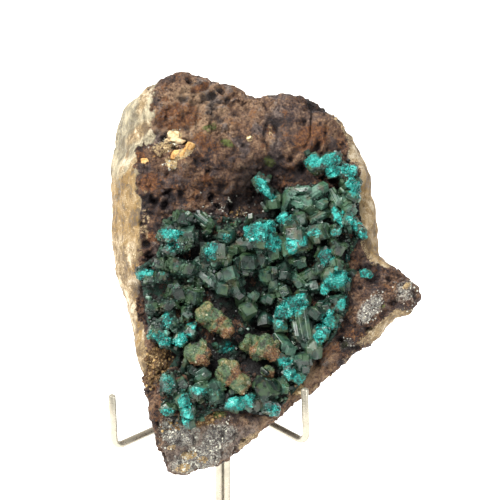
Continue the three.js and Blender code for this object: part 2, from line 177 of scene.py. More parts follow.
def cover(ovals: Iterable[Patch], at: Array, soft: float = 0.5) -> Array:
    """How strongly ovals cover places on the face.

    Args:
        ovals: which ones.
        at: the places, u and v first.
        soft: the share of each oval's size over which it fades out.

    Returns:
        The strongest cover at each place, 0 where there is none.
    """
    total = np.zeros(len(at))
    for oval in ovals:
        turn = math.radians(oval.turn)
        u, v = at[:, 0] - oval.u, at[:, 1] - oval.v
        along = u * math.cos(turn) + v * math.sin(turn)
        across = v * math.cos(turn) - u * math.sin(turn)
        reach = np.hypot(along / oval.half_length, across / oval.half_width)
        total = np.maximum(total, oval.strength * ramp(reach, 1.0 + soft, 1.0 - soft))
    return total


@dataclass(frozen=True)
class Prism:
    """One of the larger crystals: its middle, its size, its tip's heading and its lean from straight out."""

    u: float
    v: float
    radius: float
    length: float
    heading: float
    lean: float


def patches(*rows: tuple[float, ...]) -> tuple[Patch, ...]:
    """Ovals from rows of their numbers."""
    return tuple(Patch(*row) for row in rows)


def prisms(*rows: tuple[float, ...]) -> tuple[Prism, ...]:
    """Crystals from rows of their numbers."""
    return tuple(Prism(*row) for row in rows)


# The stains on the rock's face
STAINS: dict[Stain, tuple[Patch, ...]] = {
    Stain.RUST: patches(
        (-8.9, 57.0, 5.4, 3.4, 10, 0.8), (-3.3, 51.8, 3.6, 2.0, -30, 0.7), (-3.3, 44.6, 1.5, 1.0, 0, 0.8),
        (-14.3, 43.8, 2.6, 2.0, 20, 0.9), (-16.7, 48.6, 1.6, 1.2, 30), (8.7, 44.2, 1.1, 0.8, -50),
        (6.1, 41.6, 1.8, 1.5, 60, 0.7), (17.5, 52.6, 4.6, 2.8, 20, 0.8), (9.5, 54.4, 2.0, 1.2, -20, 0.7),
        (-4.5, 62.7, 2.4, 1.0, 20, 0.8), (-14.3, 32.8, 1.7, 1.1), (-5.5, 31.8, 1.5, 1.4, 0, 0.8),
        (-13.7, 23.2, 1.3, 0.9, 0, 0.8), (26.0, 12.5, 5.0, 2.0, 35, 0.6), (20.0, 9.0, 3.0, 1.5, 40, 0.6),
        (20.5, 19.5, 1.6, 1.0, 20, 0.7), (31.5, 23.5, 3.5, 1.5, -40, 0.4),
    ),
    Stain.CREAM: patches(
        (-9.6, 52.8, 1.5, 1.5, 60, 1.3), (-7.9, 49.4, 2.3, 0.9, 28), (-10.5, 50.7, 1.8, 0.8, 10, 0.7),
        (-12.0, 50.6, 2.6, 1.5, 10, 0.62), (-10.0, 48.2, 2.2, 1.2, 40, 0.62), (-9.6, 47.0, 1.0, 0.6, 60),
        (5.4, 52.5, 0.8, 0.7, 0, 0.8), (9.6, 54.0, 0.7, 1.6, 10, 0.5), (15.0, 2.4, 1.6, 0.9, 30, 0.9),
        (-6.7, -10.6, 1.8, 0.9, 10, 0.9), (-7.7, -13.0, 1.4, 0.9, 20, 0.9), (-3.9, -11.4, 1.3, 0.7, 0, 0.8),
        (-10.1, -9.0, 1.0, 0.7, 0, 0.8), (36.4, 22.6, 0.9, 0.6, 60, 0.7),
    ),
    Stain.OCHRE: patches(
        (-12.5, 8.2, 2.8, 2.6, 30), (-14.0, 5.0, 1.6, 2.0, 0, 0.7), (-4.1, -3.4, 3.4, 1.5, 10),
        (-10.0, -4.4, 3.2, 1.3, 15, 0.9), (-1.0, -0.6, 2.4, 1.2, 10, 0.6), (3.0, 37.4, 1.6, 0.9, 30, 0.5),
    ),
    Stain.MOSS: patches(
        (-2.6, 54.7, 1.6, 0.7, 10), (0.9, 51.6, 1.6, 0.8, -25), (9.5, 47.8, 1.5, 1.1, -40, 0.9),
        (4.5, -0.6, 2.0, 0.9, 0, 0.9), (-0.7, -2.6, 1.8, 0.8), (24.4, 11.4, 1.0, 0.7, 40, 0.8),
        (32.0, 19.0, 0.9, 0.5, 30, 0.7),
    ),
    Stain.ASH: patches(
        (-0.6, -6.8, 3.8, 2.4, 20, 0.9), (-8.6, -6.0, 4.4, 3.2, -20, 0.85), (-4.6, -11.0, 6.0, 2.6, 20, 0.85),
        (29.4, 18.4, 3.8, 1.6, 50, 0.85), (36.0, 21.5, 2.0, 2.4, 0, 0.6), (2.5, 38.0, 6.5, 2.3, -8, 0.36),
        (24.6, 11.4, 1.8, 1.2, 40, 0.6),
    ),
    Stain.PLUM: patches(
        (-4.0, -8.5, 12.0, 6.5, 20), (31.0, 20.5, 8.0, 6.0, 0, 0.75), (20.0, 8.0, 6.0, 3.0, 42, 0.5),
        (14.0, 56.0, 8.0, 5.0, 0, 0.8), (-1.0, 59.0, 4.0, 3.5, 0, 0.6), (-6.0, 40.0, 6.0, 4.0, 0, 0.6),
        (2.0, 37.0, 8.0, 3.0, -10, 0.8), (26.0, 30.5, 3.5, 3.0, 0, 0.8), (4.0, -4.6, 6.0, 2.0, 20, 0.8),
    ),
    # Paler patches, strongest at the top left and on the lower tip
    Stain.PALE_PATCHES: patches(
        (-6.5, 58.0, 8.5, 6.0, 15, 1.4), (-10.5, 50.0, 4.0, 4.5, 0, 0.6), (6.0, 56.0, 8.0, 6.5, 0, 0.6),
        (18.0, 53.0, 6.0, 6.0, 0, 0.45), (25.0, 44.0, 4.0, 7.0, 0, 0.3), (-4.0, -9.0, 10.0, 6.0, 20, 1.3),
        (30.0, 16.0, 7.0, 5.0, 35, 0.1), (17.0, 5.5, 8.0, 3.0, 42, 1.1), (8.0, -3.5, 7.0, 2.2, 30, 0.7),
    ),
}

# Hollows among the crystals and in the rock: sunk into their surfaces, and on the rock painted dark as shade
HOLLOWS: tuple[Patch, ...] = patches(
    (6.5, 43.5, 5.0, 5.5, 0, 0.9), (14.5, 45.0, 3.5, 2.0, 0, 0.6), (3.4, 19.2, 6.8, 1.8, -38),
    (8.2, 17.0, 2.6, 2.0, 0, 0.8), (5.6, 22.4, 1.6, 3.6, 0, 0.6), (6.9, 8.4, 2.2, 4.2, 25),
    (-14.4, 22.0, 4.4, 1.6, -12), (-13.5, 20.0, 3.4, 1.6, 0, 0.6), (-4.5, 31.5, 1.5, 3.4, 0, 0.9),
    (4.5, 29.6, 1.1, 2.4, 20, 0.9), (12.2, 29.0, 0.9, 2.0, 0, 0.7), (20.6, 20.8, 2.0, 1.1, 10, 0.9),
    (-3.5, 7.4, 4.4, 1.2, -14, 0.9), (-9.4, 8.6, 2.6, 1.6, 0, 0.8), (16.8, 9.4, 1.0, 1.8, 0, 0.8),
    (11.2, 12.4, 0.8, 2.2, -30, 0.8),
)

# Where the crust is turquoise
BLOOMS: tuple[Patch, ...] = patches(
    (18.3, 48.0, 1.9, 1.4, 10), (21.9, 48.2, 2.2, 1.4), (21.9, 46.0, 1.6, 1.3), (25.3, 46.0, 1.8, 1.6),
    (26.1, 43.0, 1.6, 2.2), (23.0, 37.1, 1.8, 0.8, -65, 1.2), (27.1, 34.5, 3.2, 0.9, -50, 1.1),
    (8.3, 42.8, 2.9, 1.0, -55), (12.1, 36.6, 1.5, 1.2, 0, 0.9), (7.6, 34.0, 3.6, 1.9, 15),
    (10.1, 31.5, 1.8, 1.5, -50), (14.0, 31.0, 1.9, 1.0, -70, 0.9), (16.4, 32.4, 1.4, 0.8, 70, 0.8),
    (18.5, 33.4, 1.3, 1.1, 0, 0.6), (22.3, 33.8, 1.3, 1.0, 0, 0.6), (20.7, 29.0, 1.8, 1.6, 60, 0.9),
    (25.5, 28.4, 1.1, 0.9, 0, 0.7), (22.9, 24.2, 2.4, 1.8, 20), (20.5, 22.9, 1.8, 0.8, 75),
    (28.5, 25.6, 1.7, 1.0), (-2.3, 30.0, 1.9, 1.3, 80), (0.7, 32.8, 1.4, 1.1, 20, 0.6),
    (-10.4, 33.6, 2.3, 1.1, 0, 0.95), (-9.8, 30.8, 2.0, 2.0, 0, 0.5), (-15.4, 25.5, 2.2, 1.1, 25, 0.95),
    (-12.3, 25.4, 1.2, 0.9, 0, 0.45), (-9.3, 27.0, 1.0, 0.8, 0, 0.45), (-10.9, 16.0, 1.7, 1.3, 100, 0.75),
    (-12.9, 13.2, 1.8, 1.1, -20, 0.85), (-11.3, 11.8, 1.5, 1.0), (-8.3, 12.4, 2.2, 1.1, 30),
    (-5.5, 15.4, 1.6, 1.4, 0, 0.6), (2.1, 14.4, 1.1, 0.8, 0, 0.9), (1.3, 11.0, 1.8, 1.4, 60, 0.9),
    (-7.3, -1.2, 3.6, 1.3, -80), (-11.2, -1.9, 2.0, 0.8, 10), (-10.9, 3.6, 2.0, 1.6, 80, 0.6),
    (-4.7, 2.2, 1.8, 1.2, 0, 0.8), (-1.1, 2.0, 1.4, 1.2, 0, 0.4), (3.6, -0.1, 3.0, 1.5, 15, 1.1),
    (9.9, -1.4, 1.7, 1.2, -20, 0.9), (13.9, 18.9, 3.6, 2.0, 25), (11.3, 15.6, 2.4, 1.0, -20, 0.6),
    (21.1, 15.8, 2.8, 1.5, 75, 0.9), (23.6, 19.4, 1.7, 1.2, 60, 0.8), (19.7, 13.8, 2.2, 1.5, 80, 0.9),
    (12.5, 7.8, 1.5, 1.2, 0, 0.8), (13.5, 5.8, 1.5, 1.2, 0, 0.9), (15.4, 4.6, 1.3, 1.0, 0, 0.7),
    (12.1, 3.0, 1.0, 0.8, 0, 0.4),
)

# Where the crystals are paler, and where they are darker
PALE_GREENS: tuple[Patch, ...] = patches(
    (18.5, 39.5, 9.0, 4.5, -15, 0.9), (17.5, 34.5, 5.5, 2.6, -10, 0.6), (16.8, 13.5, 2.2, 5.5, 0, 0.25),
    (-2.6, 25.6, 5.0, 1.6, -38, 0.6), (14.4, 9.2, 3.5, 1.4, -55, 0.5), (19.0, 26.0, 4.0, 2.5, 0, 0.4),
)

DARK_GREENS: tuple[Patch, ...] = patches(
    (8.7, 2.4, 2.8, 2.8, 0, 0.5), (-9.0, 21.5, 6.0, 4.0, 0, 0.26), (-8.0, 36.0, 3.0, 2.0, 0, 0.2),
    (8.0, 22.0, 6.0, 5.0, 0, 0.14), (17.0, 13.5, 2.2, 6.0, 0, 0.26), (-10.5, 30.0, 4.5, 4.5, 0, 0.16),
)

# The larger crystals: u and v of the middle, radius, length, heading of the tip and lean from straight out
CRYSTALS: dict[Group, tuple[Prism, ...]] = {
    Group.RIDGE: prisms(
        (18.1, 47.8, 1.8, 3.8, 150, 30), (20.1, 47.6, 1.7, 4.0, 80, 25), (22.0, 48.2, 1.9, 4.2, 60, 30),
        (22.2, 46.0, 1.6, 3.8, -70, 30), (25.4, 45.6, 1.8, 4.0, 20, 30), (26.0, 43.4, 1.8, 4.2, 0, 30),
        (25.8, 40.8, 1.7, 4.2, -65, 32), (27.0, 34.8, 1.1, 5.0, -52, 62), (23.9, 46.6, 1.3, 4.0, 40, 25),
    ),
    Group.UPPER: prisms(
        (13.2, 40.8, 1.1, 4.8, 65, 66), (15.7, 42.2, 0.8, 5.0, 4, 68), (18.7, 41.8, 1.2, 6.0, 33, 70),
        (22.7, 40.3, 1.1, 4.6, -62, 58), (19.7, 39.3, 1.1, 4.4, 0, 12), (16.7, 39.2, 1.3, 5.2, -24, 62),
        (19.7, 37.0, 1.0, 4.6, 25, 66), (22.7, 37.2, 1.0, 5.0, -60, 48), (25.2, 38.0, 1.4, 4.6, 60, 38),
        (15.3, 36.2, 1.6, 4.8, 120, 25), (15.1, 32.2, 2.6, 8.0, -50, 22), (18.6, 33.5, 1.8, 7.0, 30, 16),
        (20.6, 29.0, 1.9, 6.2, 160, 22), (22.6, 29.8, 1.6, 6.2, 60, 30), (22.3, 27.4, 1.7, 5.6, -50, 30),
        (22.9, 24.2, 2.3, 5.2, 0, 20), (20.5, 23.0, 1.0, 4.6, -95, 58), (24.8, 35.8, 1.3, 4.4, 70, 30),
        (23.8, 31.2, 0.9, 4.4, -20, 30), (21.9, 32.2, 0.9, 5.4, -70, 32), (19.1, 26.4, 1.1, 4.8, 40, 40),
        (12.1, 36.3, 1.1, 4.6, 40, 30), (14.9, 24.0, 1.2, 4.6, -40, 40), (17.7, 22.8, 1.0, 4.2, -10, 40),
        (27.7, 33.4, 0.8, 3.6, -40, 45), (15.3, 27.8, 1.2, 4.8, -30, 45), (22.3, 33.8, 1.2, 5.4, 20, 20),
    ),
    Group.CENTRE: prisms(
        (7.5, 33.0, 3.3, 8.6, 60, 24), (9.8, 30.1, 1.6, 6.8, -45, 36), (12.3, 26.2, 1.1, 5.8, -80, 36),
        (17.1, 25.0, 1.2, 4.8, 30, 62), (12.1, 22.0, 1.3, 4.6, -15, 34), (8.9, 24.9, 1.7, 5.2, 100, 22),
        (8.1, 28.6, 1.7, 5.2, -90, 40), (4.9, 27.8, 1.9, 6.2, 230, 30), (0.7, 32.7, 1.6, 4.8, 70, 30),
        (-1.5, 29.0, 2.6, 8.2, 100, 38), (1.5, 24.8, 2.0, 6.2, 80, 45), (-2.6, 26.0, 1.2, 7.2, -38, 66),
        (-3.4, 24.6, 1.3, 6.6, -38, 64), (-6.7, 26.2, 1.7, 5.2, 110, 30), (-0.1, 22.8, 1.6, 5.2, -60, 45),
        (2.6, 22.6, 1.4, 5.0, -45, 36), (5.1, 18.2, 1.9, 5.2, -100, 25), (8.5, 16.2, 1.7, 4.4, -60, 20),
        (10.5, 23.0, 1.3, 4.6, 200, 30), (1.9, 30.2, 1.1, 4.4, 20, 30), (-5.3, 23.7, 0.7, 3.4, -38, 62),
        (3.5, 20.6, 1.0, 4.6, 90, 30), (6.0, 20.4, 0.9, 4.6, 60, 30), (-3.1, 33.4, 0.8, 3.8, 90, 25),
        (9.1, 20.4, 1.1, 4.4, 0, 25),
    ),
    Group.LEFT: prisms(
        (-3.3, 36.0, 1.1, 4.4, -40, 62), (-8.1, 36.6, 1.7, 4.2, 90, 30), (-6.9, 33.2, 1.9, 5.0, 40, 25),
        (-8.5, 31.2, 1.8, 4.6, -90, 25), (-10.9, 33.6, 1.8, 4.6, 160, 25), (-15.9, 25.6, 1.2, 3.6, 180, 30),
        (-14.5, 24.6, 1.3, 3.8, -120, 25), (-9.3, 27.2, 1.6, 4.6, 80, 25), (-9.1, 21.4, 1.7, 4.6, 30, 36),
        (-5.7, 20.8, 1.8, 4.8, 60, 25), (-13.9, 18.8, 1.4, 3.8, 180, 30), (-10.6, 30.2, 1.3, 4.2, 220, 25),
        (-12.2, 25.2, 1.2, 4.2, -90, 25), (-7.0, 17.6, 1.1, 4.2, -80, 30), (-12.4, 27.2, 1.2, 4.6, 120, 30),
        (-10.9, 19.2, 1.4, 4.2, -150, 30),
    ),
    Group.LOWER_LEFT: prisms(
        (-10.9, 16.0, 1.7, 4.2, 100, 25), (-12.9, 13.4, 1.9, 4.2, 190, 25), (-8.3, 12.4, 1.7, 4.2, -90, 30),
        (-7.4, 7.2, 0.8, 4.2, 75, 55), (-3.9, 5.2, 1.7, 5.0, 80, 45), (-10.6, 3.6, 1.9, 4.4, 120, 25),
        (-7.9, 0.6, 1.8, 4.6, -60, 25), (-6.7, -3.6, 1.3, 4.6, -80, 50), (-10.9, -1.4, 1.3, 3.4, 220, 30),
        (-4.7, 2.2, 1.7, 4.2, 20, 25), (-1.3, 1.6, 2.0, 4.6, -60, 30), (2.1, -0.4, 1.8, 4.8, -90, 32),
        (5.2, 0.2, 1.8, 5.0, -30, 36), (-11.2, 12.0, 1.2, 4.0, -100, 25), (-5.7, 5.6, 1.1, 4.6, 100, 40),
        (-8.1, 3.4, 1.2, 4.2, 60, 30), (-6.9, -1.8, 1.4, 4.6, -80, 35), (-6.5, 13.8, 1.4, 4.4, -60, 25),
    ),
    Group.LOWER_RIGHT: prisms(
        (14.1, 19.0, 2.6, 5.2, 90, 15), (15.9, 20.2, 1.9, 4.8, 40, 25), (16.9, 13.8, 1.4, 9.6, -78, 70),
        (18.1, 10.6, 1.6, 5.6, -75, 52), (18.5, 17.6, 1.4, 5.8, 0, 18), (20.5, 18.4, 1.7, 4.6, 60, 25),
        (23.2, 19.6, 1.6, 3.8, 20, 30), (19.7, 13.8, 1.6, 4.6, -40, 30), (12.9, 11.0, 1.3, 5.6, -55, 58),
        (11.9, 8.2, 1.6, 4.6, 160, 30), (13.4, 5.9, 1.4, 4.4, -120, 25), (15.9, 7.8, 1.9, 4.8, 20, 30),
        (8.7, 2.4, 2.2, 6.0, -40, 26), (9.9, -1.2, 1.6, 4.2, -60, 36), (11.6, 15.0, 1.4, 4.4, -80, 25),
        (15.3, 14.6, 0.9, 6.2, -80, 62), (21.5, 16.2, 1.4, 4.2, -20, 25), (14.9, 4.9, 1.2, 4.0, -30, 30),
        (12.1, 3.0, 0.9, 4.2, -60, 48), (7.3, -0.4, 1.3, 4.2, 200, 40), (12.1, 17.4, 1.5, 4.8, 200, 25),
    ),
    Group.SPRAY: prisms(
        (7.5, 44.1, 1.2, 3.4, 140, 30), (8.7, 42.3, 1.1, 4.6, -55, 58), (10.2, 39.8, 1.4, 4.4, -60, 40),
    ),
    Group.FLECK: prisms(
        (28.4, 25.6, 1.0, 2.6, 150, 25), (29.2, 25.4, 0.7, 2.2, -20, 30),
    ),
}

# The olive knobs: u, v, radius and how high the middle stands above the face
KNOBS: tuple[tuple[float, float, float, float], ...] = (
    (-3.4, 17.6, 2.1, 3.0), (-1.4, 16.2, 2.3, 3.4), (0.6, 14.6, 1.9, 3.0), (-4.7, 9.8, 2.4, 2.8),
    (8.8, 10.6, 2.8, 3.2), (5.6, 11.2, 2.1, 2.4), (1.1, 5.9, 2.5, 3.4), (3.6, 3.4, 2.1, 3.2),
    (9.0, 6.0, 1.3, 1.7),
)

# Where the rock's broken edge is tan
TAN_EDGES: tuple[Patch, ...] = patches(
    (-15.4, 36.0, 7.5, 1.2, 88, 0.52), (26.1, 49.0, 5.0, 0.9, -70, 0.9), (28.6, 40.0, 5.5, 1.6, -77, 1.1),
    (29.6, 31.6, 4.4, 1.9, -74, 1.2), (18.5, 1.0, 5.0, 0.8, 42, 0.6), (6.5, -7.0, 4.6, 1.2, 26, 0.8),
    (31.4, 15.2, 6.5, 0.9, 40, 0.8),
)

# Where the flank's upper calcite is not smoky
CLEAR_CALCITE: tuple[Patch, ...] = patches(
    (-16.8, 53.6, 3.8, 1.2, 38), (-15.0, 60.0, 3.2, 0.7, 68), (-19.6, 48.0, 2.6, 0.7, 75),
)

# Rust and amber veins in the calcite
AMBER_VEINS: tuple[Patch, ...] = patches(
    (-19.0, 44.2, 5.6, 0.75, 62, 1.2), (-17.6, 26.9, 1.9, 0.5, 28, 1.2), (-17.4, 25.4, 1.6, 0.5, -55, 1.2),
    (-18.4, 32.0, 1.6, 0.5, 20, 0.7), (-17.4, 21.0, 2.4, 0.45, -80, 0.9), (-16.6, 14.0, 3.0, 0.6, -82, 0.8),
    (29.6, 36.0, 5.0, 0.6, -74, 0.8), (31.0, 29.6, 2.6, 0.7, -70, 0.9), (34.0, 13.0, 4.4, 1.5, 40, 1.1),
    (29.8, 9.4, 3.0, 1.6, 45, 1.1),
)

# Where the rock stands out a little more than its solid, and where a little less
FULLER: tuple[Patch, ...] = patches(
    (-17.0, 60.5, 4.5, 4.0, 0, 0.9), (20.0, 59.0, 9.0, 4.0, -25, 0.9), (27.5, 48.0, 4.0, 6.0, 20, 0.8),
    (31.5, 38.0, 3.0, 5.0, 0, 0.5), (38.5, 20.0, 3.0, 5.0, 0, 0.7),
)

LEANER: tuple[Patch, ...] = patches(
    (-19.5, 17.0, 4.0, 5.0, 0, 0.8), (-17.0, 2.5, 4.5, 4.5), (-21.0, 52.0, 3.5, 4.0, 0, 0.4),
)

# Where the rock is smoother, with shallow grooves
SMOOTH_PARTS: tuple[Patch, ...] = patches(
    (15.0, 54.0, 7.5, 6.5), (8.0, 54.0, 4.0, 6.0), (-6.0, 60.0, 5.0, 4.0, 20, 0.6),
    (-6.0, -8.0, 9.0, 5.0, 20, 0.7),
)


# Number fields


def ramp(x: Array, start: float, end: float) -> Array:
    """A smooth step from 0 at start to 1 at end, which may be the lower of the two."""
    t = np.clip((x - start) / (end - start), 0.0, 1.0)
    return t * t * (3.0 - 2.0 * t)


def chance(cells: Array, seed: int) -> Array:
    """A fixed random number in -1 to 1 for each integer cell."""
    x, y, z = (cells[:, i].astype(np.int64) for i in range(3))
    h = (x * 73856093) ^ (y * 19349663) ^ (z * 83492791) ^ np.int64(seed * 7919 + 101)
    h &= 0xFFFFFFFF
    h = ((h ^ (h >> 15)) * 0x2C1B3C6D) & 0xFFFFFFFF
    h = ((h ^ (h >> 12)) * 0x297A2D39) & 0xFFFFFFFF
    h ^= h >> 15
    return (h & 0xFFFFF) / float(0x7FFFF) - 1.0


def swell(points: Array, size: float, seed: int) -> Array:
    """Smooth noise in -1 to 1.

    Args:
        points: places in millimetres, one row each.
        size: the size of its lumps in millimetres.
        seed: which noise.
    """
    scaled = points / size
    base = np.floor(scaled)
    part = scaled - base
    part = part * part * (3.0 - 2.0 * part)
    total = np.zeros(len(points))
    for corner in itertools.product((0, 1), repeat=3):
        share = np.prod(np.where(np.array(corner) == 1, part, 1.0 - part), axis=1)
        total += share * chance(base + corner, seed)
    return total


def bent(points: Array, reach: float, size: float, seed: int) -> Array:
    """The points shifted every way by smooth noise, so that what is drawn at them is ragged."""
    return points + reach * np.stack([swell(points, size, seed + k) for k in range(3)], axis=1)


def pores(points: Array, size: float, seed: int) -> Array:
    """Distance to the nearest of one random spot in each cell, in cell sizes."""
    scaled = points / size
    base = np.floor(scaled)
    nearest = np.full(len(points), 9.0)
    for offset in itertools.product((-1, 0, 1), repeat=3):
        cell = base + offset
        spot = cell + 0.5 + 0.45 * np.stack([chance(cell, seed + k) for k in range(3)], axis=1)
        nearest = np.minimum(nearest, np.linalg.norm(scaled - spot, axis=1))
    return nearest


# Frames and meshes


@dataclass(frozen=True)
class StoneFrame:
    """The stone's axes in the row's frame.

    Attributes:
        hub: the head of the post, where the arms part, in millimetres.
        lean: how far the face leans back, in degrees.
    """

    hub: Triple
    lean: float = 28.0

    @property
    def axes(self) -> Array:
        """Rows of u, v and w in the row's frame."""
        turn = math.radians(self.lean)
        return np.array([
            [1.0, 0.0, 0.0],
            [0.0, math.sin(turn), math.cos(turn)],
            [0.0, -math.cos(turn), math.sin(turn)],
        ])

    def place(self, points: Array) -> Array:
        """Metres in the row's frame for millimetres on the stone's axes."""
        return (np.asarray(points, float) @ self.axes + np.array(self.hub)) * MM

    def measure(self, points: Array) -> Array:
        """Millimetres on the stone's axes for metres in the row's frame."""
        return (np.asarray(points, float) / MM - np.array(self.hub)) @ self.axes.T

    def surface(self, mesh: Mesh) -> tuple[Array, Array]:
        """A mesh's vertices in millimetres and their normals, both on the stone's axes."""
        return self.measure(corners_of(mesh)), normals_of(mesh) @ self.axes.T

    def swollen(self, mesh: Mesh, at: Array, facing: Array, rise: Array) -> None:
        """Puts a mesh's vertices at places moved along their normals by a rise in millimetres."""
        points = self.place(at + facing * rise[:, None])
        mesh.vertices.foreach_set("co", points.astype(np.float32).ravel())
        mesh.update()


def corners_of(mesh: Mesh) -> Array:
    """The mesh's vertices as rows."""
    flat = np.empty(len(mesh.vertices) * 3)
    mesh.vertices.foreach_get("co", flat)
    return flat.reshape(-1, 3)


def normals_of(mesh: Mesh) -> Array:
    """The mesh's vertex normals as rows."""
    flat = np.empty(len(mesh.vertices) * 3, np.float32)
    mesh.vertex_normals.foreach_get("vector", flat)
    return flat.reshape(-1, 3).astype(float)


def give(mesh: Mesh, name: Enum, values: Array, domain: str = "POINT") -> None:
    """Stores one number for each vertex or face."""
    layer = mesh.attributes.get(name.value) or mesh.attributes.new(name.value, "FLOAT", domain)
    layer.data.foreach_set("value", np.asarray(values, np.float32))


def eased(mesh: Mesh, values: Array, rounds: int) -> Array:
    """Numbers on the mesh's vertices, each averaged with its neighbours a number of times."""
    ends = np.empty(len(mesh.edges) * 2, np.int32)
    mesh.edges.foreach_get("vertices", ends)
    a, b = ends.reshape(-1, 2).T
    count = len(mesh.vertices)
    weight = np.bincount(a, minlength=count) + np.bincount(b, minlength=count)
    for _ in range(rounds):
        around = np.bincount(a, values[b], count) + np.bincount(b, values[a], count)
        values = 0.5 * values + 0.5 * around / np.maximum(weight, 1)
    return values


def made_object(name: str, mesh: Mesh, smooth: bool = False) -> Object:
    """A linked object for the mesh, at the origin."""
    mesh.polygons.foreach_set("use_smooth", [smooth] * len(mesh.polygons))
    piece = bpy.data.objects.new(name, mesh)
    bpy.context.scene.collection.objects.link(piece)
    return piece


@contextmanager
def edited(mesh: Mesh) -> Iterator[bmesh.types.BMesh]:
    """Opens a mesh for editing and writes it back."""
    work = bmesh.new()
    work.from_mesh(mesh)
    yield work
    work.to_mesh(mesh)
    work.free()


def merged_copy(name: str, node: str) -> Mesh:
    """A copy of a solid's mesh with its doubled corners merged."""
    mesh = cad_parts[node].data.copy()
    mesh.name = name
    mesh.materials.clear()
    with edited(mesh) as work:
        bmesh.ops.remove_doubles(work, verts=work.verts, dist=1e-6)
    return mesh


def settled(piece: Object) -> Mesh:
    """The mesh that the object's modifiers make, with the modifiers taken off it."""
    bpy.context.view_layer.update()
    depsgraph = bpy.context.evaluated_depsgraph_get()
    mesh = bpy.data.meshes.new_from_object(piece.evaluated_get(depsgraph), depsgraph=depsgraph)
    piece.modifiers.clear()
    return mesh


def baked(piece: Object) -> Mesh:
    """Makes what the object's modifiers make its own mesh."""
    source = piece.data
    piece.data = settled(piece)
    bpy.data.meshes.remove(source)
    return piece.data


def remeshed(piece: Object, cell: float, rounds: int, factor: float) -> Mesh:
    """Gives a piece even cells of a size in millimetres, eased for some rounds by a factor."""
    cells = piece.modifiers.new("cells", "REMESH")
    cells.mode = "VOXEL"
    cells.voxel_size = cell * MM
    ease = piece.modifiers.new("ease", "SMOOTH")
    ease.iterations = rounds
    ease.factor = factor
    mesh = baked(piece)
    mesh.polygons.foreach_set("use_smooth", [True] * len(mesh.polygons))
    return mesh


def shaped_balls(name: str, detail: int, shapes: Iterable[Shaper]) -> Mesh:
    """Balls in one mesh, each with its own shape.

    Args:
        name: the mesh's name.
        detail: how often each ball is subdivided.
        shapes: for each ball, what turns its directions into its vertices.
    """
    mesh = bpy.data.meshes.new(name)
    with edited(mesh) as work:
        for shape in shapes:
            ball = bmesh.ops.create_icosphere(work, subdivisions=detail, radius=1.0)["verts"]
            for point, corner in zip(ball, shape(np.array([p.co[:] for p in ball]))):
                point.co = corner
    return mesh


def finished(piece: Object, slot: str, *nodes: str) -> Object:
    """Seats a piece on the body, hides the solids that it stands for and logs its triangles."""
    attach(piece, BODY)
    if nodes:
        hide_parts(*nodes)
    faces = sum(len(p.vertices) - 2 for p in piece.data.polygons)
    log.info("%s: %d triangles", piece.name, faces)
    return piece


# Node trees


class Graph:
    """A node tree under construction."""

    def __init__(self, tree: bpy.types.NodeTree) -> None:
        """Starts from an empty tree."""
        self.tree = tree
        tree.nodes.clear()

    def add(self, kind: str, inputs: dict | None = None, **settings: object) -> bpy.types.Node:
        """Adds a node.

        Args:
            kind: the node's type.
            inputs: a value or a socket for each input, by place or by name.
            settings: the node's own properties.

        Returns:
            The node.
        """
        node = self.tree.nodes.new(kind)
        for name, value in settings.items():
            setattr(node, name, value)
        for key, value in (inputs or {}).items():
            if isinstance(value, Socket):
                self.tree.links.new(value, node.inputs[key])
            else:
                node.inputs[key].default_value = value
        return node

    def out(self, kind: str, inputs: dict | None = None, output: int | str = 0, **settings: object) -> Socket:
        """Adds a node and gives one of its outputs."""
        return self.add(kind, inputs, **settings).outputs[output]

    def math(self, operation: str, a: object, b: object = 0.0) -> Socket:
        """One sum."""
        return self.out("ShaderNodeMath", {0: a, 1: b}, operation=operation)

    def mapped(self, value: Socket, low: float, high: float, to: Pair = (0.0, 1.0)) -> Socket:
        """A smooth step of the value from low to high."""
        inputs = {0: value, 1: low, 2: high, 3: to[0], 4: to[1]}
        return self.out("ShaderNodeMapRange", inputs, interpolation_type="SMOOTHSTEP")


class Former(Graph):
    """A geometry node tree under construction, with a mesh and named numbers going in."""

    def __init__(self, name: str, labels: Sequence[str]) -> None:
        """Makes the tree, with an input for each label."""
        super().__init__(bpy.data.node_groups.new(name, "GeometryNodeTree"))
        face = self.tree.interface
        face.new_socket("Geometry", in_out="INPUT", socket_type="NodeSocketGeometry")
        for label in labels:
            face.new_socket(label, in_out="INPUT", socket_type="NodeSocketFloat")
        face.new_socket("Geometry", in_out="OUTPUT", socket_type="NodeSocketGeometry")
        self.start = self.add("NodeGroupInput").outputs

    def number(self, low: float, high: float, seed: int) -> Socket:
        """A random number for each place."""
        inputs = {"Min": low, "Max": high, "Seed": seed}
        return self.out("FunctionNodeRandomValue", inputs, "Value", data_type="FLOAT")

    def close(self, made: Socket, material: Material) -> None:
        """Ends the tree in a mesh of one material."""
        solid = self.out("GeometryNodeRealizeInstances", {"Geometry": made})
        dressed = self.out("GeometryNodeSetMaterial", {"Geometry": solid, "Material": material})
        self.add("NodeGroupOutput", {"Geometry": dressed})

    def run(self, piece: Object, values: dict[str, float]) -> None:
        """Puts a piece through the tree, with a value for each label."""
        modifier = piece.modifiers.new("formed", "NODES")
        modifier.node_group = self.tree
        for item in self.tree.interface.items_tree:
            if item.in_out == "INPUT" and item.name in values:
                modifier[item.identifier] = values[item.name]
        baked(piece)


